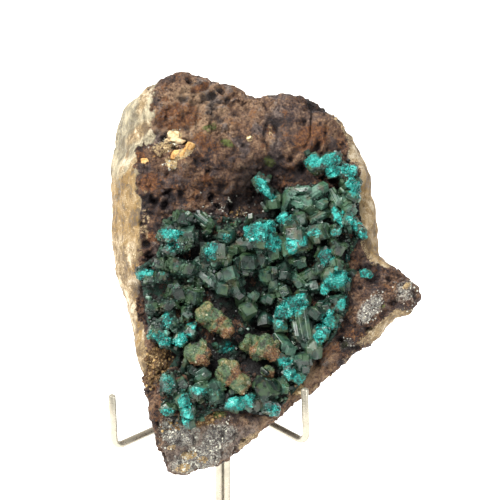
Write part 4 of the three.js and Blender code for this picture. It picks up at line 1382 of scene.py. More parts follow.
@dataclass
class CrystalHeap:
    """Many crystals gathered into one mesh.

    Attributes:
        axes: the stone's frame.
        corners, faces, tone: the mesh so far and each face's own shade.
        count: how many corners it has.
    """

    axes: StoneFrame
    corners: list[Array] = field(default_factory=list)
    faces: list[tuple[int, ...]] = field(default_factory=list)
    tone: list[float] = field(default_factory=list)
    count: int = 0

    def add(self, shape: CrystalShape, at: Array, heading: float, lean: float, tone: float) -> None:
        """Adds one crystal with its middle at a place on the stone's axes."""
        points = leaning(shape.corners(), heading, lean) + at
        self.corners.append(points)
        self.faces.extend(tuple(self.count + i for i in face) for face in shape.faces)
        self.tone.extend([tone] * len(shape.faces))
        self.count += len(points)

    def mesh(self, name: str) -> Mesh:
        """The heap's mesh, with its faces' shades."""
        mesh = bpy.data.meshes.new(name)
        mesh.from_pydata(self.axes.place(np.vstack(self.corners)).tolist(), [], self.faces)
        give(mesh, Growth.TONE, np.array(self.tone), "FACE")
        mesh.update()
        return mesh


@dataclass(frozen=True)
class Offshoots:
    """Smaller crystals that grew along a larger one.

    Attributes:
        widths, lengths: their size, as shares of its own.
        ways, drops: how far they stand out from its axis and below its middle, as shares of its size.
        loose: how far they turn away from it, in degrees.
        slender: the greatest length over radius.
    """

    widths: Pair
    lengths: Pair
    ways: Pair
    drops: Pair
    loose: float
    slender: float


# What grows along a larger crystal: steps that lie close to it, and looser ones round its foot
PARALLEL_STEPS = Offshoots((0.42, 0.72), (0.75, 1.0), (0.4, 0.8), (0.02, 0.2), 3.5, 20.0)
COMPANIONS = Offshoots((0.22, 0.46), (0.45, 0.95), (0.8, 1.4), (0.04, 0.34), 20.0, 4.2)


@dataclass
class Crust:
    """The dioptase crust: a dark bed and the larger crystals.

    Attributes:
        axes: the stone's frame.
        ground: the rock's solid, for heights.
        standing, lying: how high a crystal's middle stands, as shares of its length and radius.
        bevel: the width of the rounded edges, which are painted paler as highlights.
        bed_cell: the cell of the bed's mesh.
        facet, plain_facet: the longest edge left on turquoise and on plain crystals.
        brink: the height where no rock lies under a place, at v = 0, and its fall for each step of v.
        seed: the seed of the crystals' small differences.
        tone, tone_play: a crystal's own shade, 0 dark to 1 pale, and by how much it varies.
        size_play: by how much its radius varies.
        lying_from: the lean in degrees from which its offshoots keep closer to its direction.
        lowest: the greatest lean of an offshoot, unless its crystal leans more.
    """

    axes: StoneFrame
    ground: BVHTree
    standing: float = 0.4
    lying: float = 0.7
    bevel: float = 0.05
    bed_cell: float = 0.36
    facet: float = 0.95
    plain_facet: float = 2.6
    brink: Pair = (20.0, 0.2)
    seed: int = 5
    tone: float = 0.2
    tone_play: Pair = (-0.2, 0.34)
    size_play: Pair = (0.94, 1.2)
    lying_from: float = 50.0
    lowest: float = 56.0

    def height(self, u: float, v: float) -> float:
        """The height of the rock's face at a place on it."""
        start = self.axes.place(np.array([[u, v, FACE_TOP]]))[0]
        hit = self.ground.ray_cast(Vector(start), Vector(-self.axes.axes[2]))[0]
        if hit is None:
            return self.brink[0] - self.brink[1] * v
        return float(self.axes.measure(np.array([hit[:]]))[0, 2])

    def crystals(self) -> Mesh:
        """The larger crystals, each with the smaller ones that grew along its sides."""
        heap = CrystalHeap(self.axes)
        rng = np.random.default_rng(self.seed)
        for one in itertools.chain(*CRYSTALS.values()):
            self.grow(heap, rng, one)
        return heap.mesh("dioptase_source")

    def grow(self, heap: CrystalHeap, rng: np.random.Generator, one: Prism) -> None:
        """Adds a crystal of the list, its parallel steps and its companions.

        Args:
            heap: where they go.
            rng: their small differences.
            one: the crystal.
        """
        tilt = math.radians(one.lean)
        stands = self.height(one.u, one.v) + self.standing * one.length * math.cos(tilt)
        stands += self.lying * one.radius * math.sin(tilt)
        spot = np.array([[one.u, one.v]])
        pale, dark = float(cover(PALE_GREENS, spot, 0.6)[0]), float(cover(DARK_GREENS, spot, 0.4)[0])
        tone = self.tone + 0.5 * pale - dark + rng.uniform(*self.tone_play)
        spin = rng.uniform(0, math.pi)
        middle = np.array([one.u, one.v, stands])
        radius = one.radius * rng.uniform(*self.size_play)
        shape = CrystalShape(radius, one.length * 1.04, rng.uniform(-0.12, 0.12), spin)
        heap.add(shape, middle, one.heading, one.lean, tone)
        kinds = [kind for kind in (PARALLEL_STEPS, COMPANIONS) for _ in range(rng.integers(2, 5))]
        sway = 0.8 if one.lean > self.lying_from else 2.0
        for kind in kinds:
            side = rng.uniform(0, 2 * math.pi)
            out = radius * rng.uniform(*kind.ways)
            drop = one.length * rng.uniform(*kind.drops)
            offset = np.array([[out * math.cos(side), out * math.sin(side), -drop]])
            place = middle + leaning(offset, one.heading, one.lean)[0]
            width = radius * rng.uniform(*kind.widths)
            length = min(one.length * rng.uniform(*kind.lengths), kind.slender * width)
            stretch = rng.uniform(-0.18, 0.18)
            shape = CrystalShape(width, length, stretch, spin + rng.normal(0, 0.02 * kind.loose))
            heading = one.heading + rng.normal(0, sway * kind.loose)
            lean = min(one.lean + 0.6 * kind.loose + rng.normal(0, kind.loose), max(one.lean, self.lowest))
            heap.add(shape, place, heading, lean, tone + rng.uniform(-0.22, 0.22))

    def refined(self, mesh: Mesh) -> None:
        """Cuts the crystals' long edges, down to shorter ones where they are turquoise."""
        with edited(mesh) as work:
            bmesh.ops.triangulate(work, faces=work.faces)
            for _ in range(3):
                edges = list(work.edges)
                middles = np.array([(e.verts[0].co + e.verts[1].co)[:] for e in edges]) / 2
                bright = bloomed(self.axes.measure(middles)) > 0.15
                limits = np.where(bright, self.facet, self.plain_facet) * MM
                long = [e for e, limit in zip(edges, limits) if e.calc_length() > limit]
                bmesh.ops.subdivide_edges(work, edges=long, cuts=1)
                bmesh.ops.triangulate(work, faces=work.faces)

    def encrust(self, mesh: Mesh) -> None:
        """Stores the turquoise bloom, roughens the crystals under it and frays them all a little."""
        at, facing = self.axes.surface(mesh)
        bloom = bloomed(at) * ramp(facing[:, 2], -0.35, 0.15)
        rough = 0.022 + 0.16 * ramp(bloom, 0.3, 0.9)
        rise = rough * (0.9 * swell(at, 0.8, 101) + 0.8 * swell(at, 0.4, 103))
        self.axes.swollen(mesh, at, facing, rise)
        give(mesh, Growth.BLOOM, bloom)
        upward = ramp(facing[:, 2], -0.1, 0.4)
        give(mesh, Spread.SPARKLE, upward * ramp(bloom, 0.2, 0.75))
        left = ramp(at[:, 0] - 0.25 * at[:, 1] + 2.0 * swell(at, 3.0, 93), -6.0, -12.0)
        give(mesh, Spread.DRUSE, upward * np.maximum(ramp(swell(at, 1.9, 91), 0.05, 0.5), left))

    def build_crystals(self) -> Object:
        """Makes the larger crystals as one piece, with rounded edges painted paler as highlights."""
        piece = made_object("dioptase_crystals", self.crystals())
        piece.data.materials.append(DioptaseFinish().material())
        piece.data.materials.append(EDGE_HIGHLIGHTS.material())
        edge = piece.modifiers.new("highlighted_edges", "BEVEL")
        edge.width = self.bevel * MM
        edge.segments = 1
        edge.limit_method = "ANGLE"
        edge.material = 1
        baked(piece)
        self.refined(piece.data)
        self.encrust(piece.data)
        return finished(piece, "dioptase", "dioptase_crust", "dioptase_fleck")

    def bed_mesh(self) -> Mesh:
        """The bed: the crust's solid, sunk a little, lumpy, and deeper in its hollows."""
        work = made_object("bed_work", merged_copy("bed_source", "dioptase_crust"))
        mesh = remeshed(work, self.bed_cell, 5, 0.5)
        bpy.data.objects.remove(work)
        at, facing = self.axes.surface(mesh)
        front = ramp(facing[:, 2], -0.2, 0.3)
        sunk = cover(HOLLOWS, at, 0.6)
        rise = -0.9 + 0.6 * swell(at, 2.4, 61) + 0.4 * swell(at, 1.0, 67) - 1.3 * sunk
        self.axes.swollen(mesh, at, facing, rise * front)
        bloom = bloomed(at)
        give(mesh, Growth.BLOOM, bloom)
        knobs = cover([Patch(u, v, r * 1.25, r * 1.25) for u, v, r, _ in KNOBS], at, 0.3)
        give(mesh, Spread.DRUSE, np.clip(front * (1.0 - 0.9 * sunk) * (1.0 - 0.8 * knobs), 0.0, 1.0))
        give(mesh, Spread.BLOCKS, np.clip(front * (1.0 - sunk) * (1.0 - knobs), 0.0, 1.0))
        give(mesh, Spread.SPARKLE, np.clip(front * ramp(bloom, 0.35, 0.9), 0.0, 1.0))
        return mesh

    def build_bed(self) -> Object:
        """Makes the bed."""
        piece = made_object("dioptase_bed", self.bed_mesh(), smooth=True)
        piece.data.materials.append(BedFinish().material())
        return finished(piece, "dioptase", "dioptase_crust")


def seed_crystal() -> Mesh:
    """A crystal of radius 1 and length 1 standing on the origin."""
    shape = CrystalShape(1.0, 2.0)
    points = shape.corners()
    points[0, 2], points[1:7, 2], points[7:, 2] = 1.0, np.where(np.arange(6) % 2, 0.52, 0.76), 0.0
    mesh = bpy.data.meshes.new("seed_crystal")
    mesh.from_pydata(points.tolist(), [], shape.faces[:-1])
    return mesh


def seed_crumb(seed: int = 1, detail: int = 2) -> Mesh:
    """A knobbly crumb of radius 1 about the origin, or at detail 1 an angular grain."""
    def knobbly(ways: Array) -> Array:
        """The crumb's surface in the given directions."""
        return ways * (0.85 + 0.42 * swell(ways * 1.7 + 5.0 * seed, 1.0, seed))[:, None]

    return shaped_balls("seed_crumb", detail, [knobbly])


@dataclass
class Scatter:
    """Small bodies strewn over a surface by a node tree.

    Attributes:
        name: the piece's name.
        spacing: the least distance between two of them.
        density: how many there are on a square millimetre where the share is 1.
        share: the attribute that says where they stand.
        size: least and greatest radius.
        stocky: length over radius, least and greatest.
        tilt: how far they lean from straight out, in degrees.
        seed: the seed of their places.
        crowd: how much commoner small ones are than large ones, 1 being as common.
        oval: width one way over width the other, least and greatest.
    """

    name: str
    spacing: float
    density: float
    share: Spread
    size: Pair
    stocky: Pair
    tilt: float
    seed: int
    crowd: float = 1.8
    oval: Pair = (0.75, 1.2)

    def tree(self, template: Object, material: Material) -> Former:
        """The node tree that strews copies of a template."""
        g = Former(self.name + "_tree", ("Spacing", "Density", "Least Radius", "Greatest Radius", "Tilt"))
        share = g.out("GeometryNodeInputNamedAttribute", {"Name": self.share.value}, data_type="FLOAT")
        spots = g.add("GeometryNodeDistributePointsOnFaces", {
            "Mesh": g.start["Geometry"], "Distance Min": g.start["Spacing"],
            "Density Max": g.start["Density"], "Density Factor": share, "Seed": self.seed,
        }, distribute_method="POISSON")
        anyhow = {"Min": (-1.0,) * 3, "Max": (1.0,) * 3, "Seed": self.seed + 1}
        lean = g.out("FunctionNodeRandomValue", anyhow, "Value", data_type="FLOAT_VECTOR")
        away = g.out("ShaderNodeVectorMath", {0: lean}, operation="NORMALIZE")
        tilt = g.math("SINE", g.start["Tilt"])
        away = g.out("ShaderNodeVectorMath", {0: away, "Scale": tilt}, operation="SCALE")
        way = g.out("ShaderNodeVectorMath", {0: spots.outputs["Normal"], 1: away}, operation="ADD")
        stand = g.out("FunctionNodeAlignRotationToVector", {"Vector": way}, axis="Z")
        about = g.number(0.0, 2 * math.pi, self.seed + 2)
        spin = g.out("FunctionNodeAxisAngleToRotation", {"Axis": (0.0, 0.0, 1.0), "Angle": about})
        both = {"Rotation": stand, "Rotate By": spin}
        turn = g.out("FunctionNodeRotateRotation", both, rotation_space="LOCAL")
        mix = g.math("POWER", g.number(0.0, 1.0, self.seed + 3), self.crowd)
        least, greatest = g.start["Least Radius"], g.start["Greatest Radius"]
        radius = g.out("ShaderNodeMapRange", {0: mix, 1: 0.0, 2: 1.0, 3: least, 4: greatest})
        tall = g.math("MULTIPLY", radius, g.number(*self.stocky, self.seed + 4))
        broad = g.math("MULTIPLY", radius, g.number(*self.oval, self.seed + 5))
        scale = g.out("ShaderNodeCombineXYZ", {0: radius, 1: broad, 2: tall})
        body = g.out("GeometryNodeObjectInfo", {"Object": template}, "Geometry")
        strewn = g.out("GeometryNodeInstanceOnPoints", {
            "Points": spots.outputs["Points"], "Instance": body, "Rotation": turn, "Scale": scale,
        })
        toned = g.out("GeometryNodeStoreNamedAttribute", {
            "Geometry": strewn, "Name": Growth.TONE.value, "Value": g.number(0.0, 1.0, self.seed + 6),
        }, data_type="FLOAT", domain="INSTANCE")
        g.close(toned, material)
        return g

    def build(self, host: Mesh, template: Mesh, material: Material,
              slot: str, node: str) -> Object:
        """Strews small bodies over a surface.

        Args:
            host: the surface, with the attribute that says where they stand. They keep its other attributes.
            template: the body, 1 m in radius, about the origin or standing on it.
            material: their finish.
            slot, node: the material slot, which is not used, and the solid that they belong to.

        Returns:
            The piece.
        """
        body = made_object(self.name + "_body", template)
        piece = made_object(self.name, host.copy())
        self.tree(body, material).run(piece, {
            "Spacing": self.spacing * MM, "Density": self.density / MM ** 2, "Tilt": math.radians(self.tilt),
            "Least Radius": self.size[0] * MM, "Greatest Radius": self.size[1] * MM,
        })
        bpy.data.objects.remove(body)
        return finished(piece, slot, node)


# Knobs


@dataclass
class OliveKnobs:
    """The iron-stained knobs: bunches of rounded lumps, grown together.

    Attributes:
        axes: the stone's frame.
        crust: for the rock's heights.
        lumps: how many lumps make a knob.
        swelling: how much larger a knob is than in the list.
        core: the size of its middle lump, as a share of its own.
        sizes, reaches: the size and the outer reach of the other lumps, as shares of its own.
        lift: how much higher it sits than in the list.
        cell: the cell of their mesh.
        seed: the seed of the lumps' places.
    """

    axes: StoneFrame
    crust: Crust
    lumps: int = 13
    swelling: float = 1.02
    core: float = 0.8
    sizes: Pair = (0.28, 0.5)
    reaches: Pair = (0.86, 1.02)
    lift: float = 0.3
    cell: float = 0.26
    seed: int = 21

    def bunch(self) -> Mesh:
        """Every knob's lumps as balls that run into each other."""
        rng = np.random.default_rng(self.seed)
        balls: list[tuple[Array, float]] = []
        for u, v, radius, rise in KNOBS:
            radius *= self.swelling
            middle = np.array([u, v, self.crust.height(u, v) + rise + self.lift])
            balls.append((middle, radius * self.core))
            for _ in range(self.lumps):
                way = rng.normal(size=3)
                way[2] = abs(way[2]) * 1.1 - 0.2
                size = radius * rng.uniform(*self.sizes)
                out = radius * rng.uniform(*self.reaches) - size * 0.4
                balls.append((middle + way / np.linalg.norm(way) * out, size))
        return shaped_balls("olive_bunch", 3, [partial(self.lump, *ball) for ball in balls])

    def lump(self, middle: Array, size: float, ways: Array) -> Array:
        """A lump's surface in the given directions."""
        return self.axes.place(middle + ways * size)

    def weathered(self, at: Array) -> Array:
        """How rusty places on the knobs are: most on each one's lower right."""
        knobs = np.array(KNOBS)
        away = at[:, None, :2] - knobs[None, :, :2]
        nearest = np.argmin(np.linalg.norm(away, axis=2) / knobs[:, 2], axis=1)
        own = away[np.arange(len(at)), nearest]
        slant = (own[:, 0] - 1.2 * own[:, 1]) / knobs[nearest, 2]
        return ramp(slant + 0.9 * swell(at, 1.5, 89), -0.5, 1.4)

    def build(self) -> Object:
        """Makes the knobs as one piece."""
        piece = made_object("olive_knobs", self.bunch())
        mesh = remeshed(piece, self.cell, 3, 0.5)
        at, facing = self.axes.surface(mesh)
        cell = pores(at, 0.8, 71)
        rise = 0.16 * (0.5 - cell) + 0.07 * swell(at, 0.6, 73) + 0.04 * swell(at, 0.32, 79)
        self.axes.swollen(mesh, at, facing, rise)
        give(mesh, Growth.TONE, 0.5 + 0.5 * swell(at, 1.3, 83))
        give(mesh, Growth.SEAM, ramp(cell, 0.55, 0.95))
        give(mesh, Stain.RUST, self.weathered(at))
        give(mesh, Spread.DRUSE, ramp(facing[:, 2], -0.2, 0.3))
        mesh.materials.append(OliveFinish().material())
        return finished(piece, "dioptase", "dioptase_crust")


@dataclass(frozen=True)
class Fragment:
    """An angular piece of calcite set in the rock.

    Attributes:
        u, v: where it is on the face.
        size: its half sizes along its length, its width and outwards.
        turn: heading of its length in degrees.
        cuts: how many cleavage planes shape it.
        seed: the seed of its planes.
    """

    u: float
    v: float
    size: Triple
    turn: float
    cuts: int
    seed: int

    def corners(self, ways: Array) -> Array:
        """Its surface in the given directions, about its own middle."""
        rng = np.random.default_rng(self.seed)
        planes = rng.normal(size=(self.cuts, 3))
        planes /= np.linalg.norm(planes, axis=1)[:, None]
        planes = np.vstack([planes, -planes])
        depth = rng.uniform(0.55, 0.85, size=len(planes))
        reach = np.min(depth / np.clip(ways @ planes.T, 0.05, None), axis=1)
        at = ways * np.minimum(reach, 1.4)[:, None] * np.array(self.size)
        own = at + self.seed
        at += ways * (0.07 * swell(own, 0.7, 107) + 0.06 * swell(own, 0.3, 109))[:, None]
        c, s = math.cos(math.radians(self.turn)), math.sin(math.radians(self.turn))
        return at @ np.array([[c, s, 0], [-s, c, 0], [0, 0, 1]])


# The pieces of calcite in the face, pale ones and amber ones
CREAM_FRAGMENTS: tuple[Fragment, ...] = (
    Fragment(-9.9, 53.0, (1.9, 1.6, 1.5), 70, 5, 3),
    Fragment(-9.0, 51.9, (1.3, 1.1, 1.3), 10, 5, 5),
    Fragment(-11.4, 50.6, (1.1, 0.9, 0.9), 30, 5, 7),
    Fragment(-10.9, 52.0, (0.9, 0.7, 0.8), 0, 6, 37),
    Fragment(-10.0, 47.2, (1.3, 0.8, 0.8), -50, 5, 11),
    Fragment(-12.6, 49.4, (0.7, 0.6, 0.6), 20, 6, 41),
    Fragment(5.2, 52.6, (0.7, 0.5, 0.5), 20, 5, 13),
    Fragment(15.2, 2.0, (1.0, 0.6, 0.6), 30, 5, 15),
    Fragment(13.6, 1.0, (0.7, 0.5, 0.5), 0, 5, 17),
)

AMBER_FRAGMENTS: tuple[Fragment, ...] = (
    Fragment(-7.2, 50.0, (1.5, 1.2, 1.4), 30, 5, 19),
    Fragment(-8.7, 49.2, (1.4, 1.1, 1.3), 42, 5, 43),
    Fragment(-10.2, 48.6, (1.0, 0.8, 0.9), 60, 6, 23),
    Fragment(-15.0, 48.2, (1.4, 0.9, 0.9), 40, 6, 29),
    Fragment(-13.9, 49.0, (0.8, 0.6, 0.7), 10, 6, 47),
    Fragment(-8.0, 47.8, (0.7, 0.6, 0.5), 0, 6, 31),
)


@dataclass
class Fragments:
    """The pale calcite pieces in the rock's face.

    Attributes:
        axes: the stone's frame.
        crust: for the rock's heights.
        sink: how deep their middles sit, as a share of their thickness.
        detail: subdivisions of the ball that each starts from.
    """

    axes: StoneFrame
    crust: Crust
    sink: float = 0.55
    detail: int = 4

    def build(self, name: str, fragments: Sequence[Fragment], finish: PaleFinish) -> Object:
        """Makes some of them as one piece."""
        mesh = shaped_balls(name, self.detail, [partial(self.seated, one) for one in fragments])
        give(mesh, Growth.TONE, 0.5 + 0.5 * swell(self.axes.measure(corners_of(mesh)), 1.0, 109))
        mesh.materials.append(finish.material())
        return finished(made_object(name, mesh), "matrix", "matrix_rock")

    def seated(self, one: Fragment, ways: Array) -> Array:
        """A fragment's surface in the given directions, sunk in the rock's face."""
        middle = np.array([one.u, one.v, self.crust.height(one.u, one.v) - self.sink * one.size[2]])
        return self.axes.place(one.corners(ways / np.linalg.norm(ways, axis=1)[:, None]) + middle)


# The stand


@dataclass
class StandWire:
    """One bent wire: foot, post, arm and prong along one route.

    Attributes:
        which: which of the three it is.
        post: x and y of its post's centre line, in millimetres.
        arm_turn: heading of its arm and foot.
        arm_length: from the post to the prong.
        tip_lean: how far the prong's tip leans out.
        radius: half the wire's thickness.
        bend: the radius of its corners, on its centre line.
        foot_length: from the post to the foot's end.
        arm_height: of the arm's centre line over the floor.
        prong: how far the prong rises above the arm.
        ease: how much of each end is rounded off.
        end_width: the share of its width left at its ends.
        around, corner_steps: how finely it and its corners are made.
    """

    which: Wire
    post: Pair
    arm_turn: float
    arm_length: float
    tip_lean: float
    radius: float = 0.75
    bend: float = 2.25
    foot_length: float = 36.0
    arm_height: float = HUB_HEIGHT
    prong: float = 12.1
    ease: float = 0.22
    end_width: float = 0.72
    around: int = 28
    corner_steps: int = 10

    def route(self) -> Array:
        """The corners of the wire's centre line in millimetres, with a point just inside each end."""
        reach = [
            (self.foot_length, self.radius), (self.foot_length - self.ease, self.radius), (0.0, self.radius),
            (0.0, self.arm_height), (self.arm_length, self.arm_height),
        ]
        tip = np.array([self.arm_length + self.tip_lean, self.arm_height + self.prong])
        way = tip - np.array(reach[-1])
        reach.extend([tuple(tip - way / np.linalg.norm(way) * self.ease), tuple(tip)])
        turn = math.radians(self.arm_turn)
        return np.array([
            [self.post[0] + r * math.cos(turn), self.post[1] + r * math.sin(turn), z] for r, z in reach
        ])

    def stretches(self) -> list[tuple[Array, Array]]:
        """The arm and the prong, end to end."""
        points = self.route()
        return [(points[3], points[4]), (points[4], points[6])]

    def tree(self, material: Material) -> Former:
        """The node tree that rounds the corners and sweeps the wire."""
        g = Former("wire_" + self.which.value, ("Radius", "Bend", "Ease"))
        curve = g.out("GeometryNodeMeshToCurve", {"Mesh": g.start["Geometry"]})
        corners = {"Curve": curve, "Radius": g.start["Bend"], "Count": self.corner_steps}
        rounded = g.out("GeometryNodeFilletCurve", corners, mode="POLY")
        section = {"Resolution": self.around, "Radius": g.start["Radius"]}
        ring = g.out("GeometryNodeCurvePrimitiveCircle", section)
        along = g.add("GeometryNodeSplineParameter").outputs["Length"]
        left = g.math("SUBTRACT", g.out("GeometryNodeSplineLength"), along)
        nearest = g.math("MINIMUM", along, left)
        width = {0: nearest, 1: 0.0, 2: g.start["Ease"], 3: self.end_width, 4: 1.0}
        worn = g.out("ShaderNodeMapRange", width)
        swept = g.out("GeometryNodeCurveToMesh", {
            "Curve": rounded, "Profile Curve": ring, "Scale": worn, "Fill Caps": True,
        })
        g.close(g.out("GeometryNodeSetShadeSmooth", {"Geometry": swept}), material)
        return g

    def build(self, material: Material) -> Object:
        """Makes the wire."""
        points = self.route() * MM
        mesh = bpy.data.meshes.new("route_" + self.which.value)
        mesh.from_pydata(points.tolist(), list(itertools.pairwise(range(len(points)))), [])
        piece = made_object("wire_" + self.which.value, mesh)
        values = {"Radius": self.radius * MM, "Bend": self.bend * MM, "Ease": self.ease * MM}
        self.tree(material).run(piece, values)
        turned_out(piece.data)
        return finished(piece, "wire", "stand_wire_" + self.which.value)


def turned_out(mesh: Mesh) -> None:
    """Makes a closed mesh's faces look outwards."""
    with edited(mesh) as work:
        bmesh.ops.remove_doubles(work, verts=work.verts, dist=1e-7)
        bmesh.ops.recalc_face_normals(work, faces=work.faces)


@dataclass
class BrazedCollar:
    """The collar that joins the three wires: a soft barrel with the braze run in round the wires.

    Attributes:
        axis: x and y of the post's axis, in millimetres.
        level: height of its middle.
        radius, height: its size.
        waist: its radius at its two rims.
        roundness: how soft its barrel is, 0 being a plain sleeve.
        around, rings: how finely it is made.
    """

    axis: Pair
    level: float = 39.5
    radius: float = 2.5
    height: float = 3.2
    waist: float = 1.45
    roundness: float = 0.32
    around: int = 96
    rings: int = 18

    def build(self) -> Object:
        """Makes the collar."""
        points: list[list[float]] = []
        for k in range(self.rings + 1):
            share = k / self.rings
            turn = math.pi * (share - 0.5)
            belly = abs(math.cos(turn)) ** self.roundness
            for i in range(self.around):
                a = 2 * math.pi * i / self.around
                melt = 1.0 + 0.02 * math.sin(3 * a + 2.2 * share) + 0.012 * math.sin(7 * a + 5 * share)
                r = (self.waist + (self.radius - self.waist) * belly) * melt
                z = self.level + self.height * 0.5 * math.sin(turn) * 0.98
                points.append([self.axis[0] + r * math.cos(a), self.axis[1] + r * math.sin(a), z])
        n = self.around
        faces = [
            (k * n + i, k * n + (i + 1) % n, (k + 1) * n + (i + 1) % n, (k + 1) * n + i)
            for k in range(self.rings) for i in range(n)
        ]
        faces.append(tuple(reversed(range(n))))
        faces.append(tuple(self.rings * n + i for i in range(n)))
        mesh = bpy.data.meshes.new("brazed_collar")
        mesh.from_pydata((np.array(points) * MM).tolist(), [], faces)
        mesh.materials.append(BRAZE.material())
        return finished(made_object("brazed_collar", mesh, smooth=True), "braze", "stand_collar")


@dataclass
class WireStand:
    """The stand: three wires and their collar.

    Attributes:
        axis: x and y of the post's axis, in millimetres.
        spacing: from that axis to each wire's centre line.
    """

    axis: Pair
    spacing: float = 0.94

    def wires(self) -> list[StandWire]:
        """The three wires."""
        return [
            StandWire(Wire.LEFT, self.post(210), 222.5, 28.0, 0.6),
            StandWire(Wire.RIGHT, self.post(330), 313.0, 23.4, -0.6),
            StandWire(Wire.BACK, self.post(90), 90.0, 10.6, 0.8),
        ]

    def post(self, turn: float) -> Pair:
        """Where a wire's post stands in the bundle."""
        a = math.radians(turn)
        return self.axis[0] + self.spacing * math.cos(a), self.axis[1] + self.spacing * math.sin(a)

    def build(self) -> None:
        """Makes the stand."""
        nickel = NickelFinish().material()
        for wire in self.wires():
            wire.build(nickel)
        BrazedCollar(self.axis).build()


# The studio


@dataclass
class Studio:
    """A plain pale floor, soft light and the camera.

    Attributes:
        target: what the camera looks at, in millimetres.
        elevation: its height above the horizon, in degrees.
        distance: from the target.
        width: what its view spans at the target.
        sweep: y and z of the floor's course from front to back, in metres.
        half_floor: half the floor's width, in metres.
        gap: how far the floor lies below the feet, in metres.
    """

    target: Triple
    elevation: float = 28.0
    distance: float = 1400.0
    width: float = 100.0
    sweep: tuple[Pair, ...] = (
        (-3.0, 0.0), (2.2, 0.0), (2.8, 0.06), (3.3, 0.3), (3.6, 0.8), (3.7, 2.4),
    )
    half_floor: float = 3.0
    gap: float = 0.00002

    def floor(self) -> None:
        """The floor, a hair below the feet, which sweeps up far behind."""
        sides = (-self.half_floor, self.half_floor)
        corners = [(x, y, z - self.gap) for y, z in self.sweep for x in sides]
        faces = [(k, k + 1, k + 3, k + 2) for k in range(0, len(corners) - 2, 2)]
        mesh = bpy.data.meshes.new("floor")
        mesh.from_pydata(corners, [], faces)
        mesh.materials.append(PaperFinish().material())
        made_object("floor", mesh, smooth=True)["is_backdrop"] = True

    def lamp(self, name: str, place: Vector, size: float, power: float, color: Color) -> None:
        """A square soft light aimed at the stone."""
        light = bpy.data.lights.new(name, "AREA")
        light.shape = "SQUARE"
        light.size = size
        light.energy = power
        light.color = color
        lamp = bpy.data.objects.new(name, light)
        lamp.location = place
        aim = Vector(self.target) * MM - place
        lamp.rotation_euler = aim.to_track_quat("-Z", "Y").to_euler()
        bpy.context.scene.collection.objects.link(lamp)

    def lights(self) -> None:
        """A broad light overhead on the left, weaker ones on the right and behind, and pale surroundings."""
        self.lamp("key", Vector((-0.42, -0.12, 0.84)), 0.6, 20.5, (1.0, 0.985, 0.955))
        self.lamp("fill", Vector((0.66, -0.4, 0.4)), 0.4, 3.2, (0.97, 0.985, 1.0))
        self.lamp("rim", Vector((0.25, 0.7, 0.62)), 0.3, 4.0, (1.0, 1.0, 1.0))
        world = bpy.data.worlds.new("pale_room")
        bpy.context.scene.world = world
        world.use_nodes = True
        g = Graph(world.node_tree)
        back = g.out("ShaderNodeBackground", {"Color": (1.0, 1.0, 1.0, 1.0), "Strength": 0.38})
        g.add("ShaderNodeOutputWorld", {"Surface": back})

    def camera(self) -> None:
        """The camera at the photograph's angle."""
        data = bpy.data.cameras.new("camera")
        data.sensor_width = 36.0
        data.lens = 36.0 * self.distance / self.width
        data.clip_start, data.clip_end = 0.05, 20.0
        camera = bpy.data.objects.new("camera", data)
        tilt = math.radians(self.elevation)
        back = Vector((0.0, -math.cos(tilt), math.sin(tilt)))
        camera.location = (Vector(self.target) + back * self.distance) * MM
        camera.rotation_euler = (-back).to_track_quat("-Z", "Y").to_euler()
        bpy.context.scene.collection.objects.link(camera)
        bpy.context.scene.camera = camera

    def build(self) -> None:
        """Makes the studio."""
        self.floor()
        self.lights()
        self.camera()
        view = bpy.context.scene.view_settings
        view.view_transform = "Standard"
        view.look = "None"


# The whole


def shade_hollows(axes: StoneFrame, *pieces: Object) -> None:
    """Stores on each piece how deep its places lie among the others, which the finishes paint as shade."""
    heights = HeightField()
    places = [axes.measure(corners_of(piece.data)) for piece in pieces]
    for at in places:
        heights.lay(at)
    heights.settle()
    for piece, at in zip(pieces, places):
        give(piece.data, Growth.HOLLOW, heights.hollow(at))


def recorded(name: str, corners: tuple[Vector, Vector]) -> dict[str, list[list[float]]]:
    """A box's corners, reported and returned by name."""
    low, high = corners
    log.info("%s: %s to %s", name, [round(c, 4) for c in low], [round(c, 4) for c in high])
    return {name: [list(low), list(high)]}


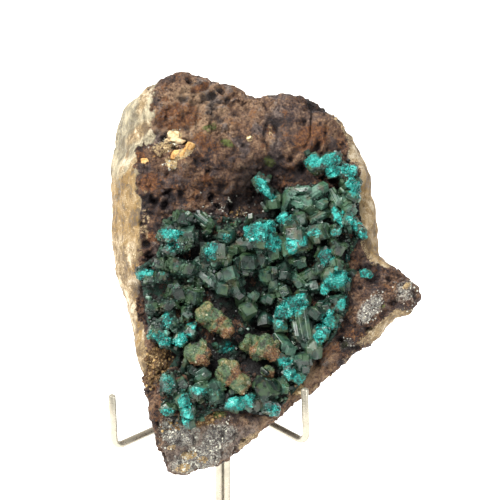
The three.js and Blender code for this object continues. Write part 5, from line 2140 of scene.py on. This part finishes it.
def strew_all(rock: Object, bed: Object, crystals: Object,
              knobs: Object) -> None:
    """Strews the small crystals over the crust, and crumbs, grit and flakes over the rock."""
    crystal, crumb, grain = seed_crystal(), seed_crumb(), seed_crumb(3, 1)
    facets, olive, stone = (piece.data.materials[0] for piece in (crystals, knobs, rock))
    glitter, pale, golden = (finish.material() for finish in (GLITTER, FLAKES, SPONGE))
    blocks, druse, sparkle = Spread.BLOCKS, Spread.DRUSE, Spread.SPARKLE
    crumbs, grit, flakes, sponge = Spread.CRUMBS, Spread.GRIT, Spread.FLAKES, Spread.SPONGE
    for strewn, host, body, finish in (
        (Scatter("bed_blocks", 0.85, 1.2, blocks, (0.22, 0.72), (1.3, 2.5), 50.0, 3), bed, crystal, facets),
        (Scatter("bed_druse", 0.36, 5.0, druse, (0.12, 0.36), (0.9, 1.8), 45.0, 29), bed, crystal, facets),
        (Scatter("crystal_druse", 0.36, 2.6, druse, (0.08, 0.28), (0.9, 1.9), 45.0, 5),
         crystals, crystal, facets),
        (Scatter("bed_turquoise", 0.18, 16.0, sparkle, (0.07, 0.22), (0.8, 1.7), 42.0, 7),
         bed, crystal, glitter),
        (Scatter("crystal_turquoise", 0.22, 8.6, sparkle, (0.06, 0.19), (0.7, 1.6), 42.0, 9),
         crystals, crystal, glitter),
        (Scatter("knob_grains", 0.42, 3.2, druse, (0.09, 0.28), (0.7, 1.4), 60.0, 13), knobs, crystal, olive),
        (Scatter("iron_crumbs", 0.62, 1.25, crumbs, (0.22, 0.62), (0.7, 1.3), 60.0, 17), rock, crumb, stone),
        (Scatter("iron_grit", 0.4, 4.0, grit, (0.1, 0.32), (0.6, 1.4), 70.0, 37), rock, grain, stone),
        (Scatter("pale_flakes", 0.26, 9.0, flakes, (0.07, 0.26), (0.5, 1.2), 70.0, 19), rock, crumb, pale),
        (Scatter("ochre_sponge", 0.36, 4.5, sponge, (0.14, 0.42), (0.7, 1.3), 60.0, 23), rock, crumb, golden),
    ):
        belongs = ("matrix", "matrix_rock") if host is rock else ("dioptase", "dioptase_crust")
        strewn.build(host.data, body, finish, *belongs)


def main() -> None:
    """Builds the specimen, its stand and the studio."""
    logging.basicConfig(level=logging.INFO, format="%(message)s")
    sizes = recorded("solids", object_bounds())
    low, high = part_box("stand_collar")
    axis = ((low.x + high.x) / 2 / MM, (low.y + high.y) / 2 / MM)
    axes = StoneFrame((*axis, HUB_HEIGHT))
    right, behind, up = VIEW_OFFSET
    Studio((axis[0] + right, axis[1] + behind, up)).build()

    stand = WireStand(axis)
    stand.build()
    arms = [(axes.measure(a[None] * MM)[0], axes.measure(b[None] * MM)[0])
            for wire in stand.wires() for a, b in wire.stretches()]
    rock = MatrixRock(axes, arms).build()

    solid = merged_copy("heights", "matrix_rock")
    corners = [v.co[:] for v in solid.vertices]
    crust = Crust(axes, BVHTree.FromPolygons(corners, [tuple(p.vertices) for p in solid.polygons]))
    bed = crust.build_bed()
    crystals = crust.build_crystals()
    knobs = OliveKnobs(axes, crust).build()
    shade_hollows(axes, bed, crystals, knobs)
    calcite = Fragments(axes, crust)
    calcite.build("cream_calcite", CREAM_FRAGMENTS, CREAM)
    calcite.build("amber_calcite", AMBER_FRAGMENTS, AMBER)
    strew_all(rock, bed, crystals, knobs)

    sizes.update(recorded("dressed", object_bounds()))


if __name__ == "__main__":
    main()
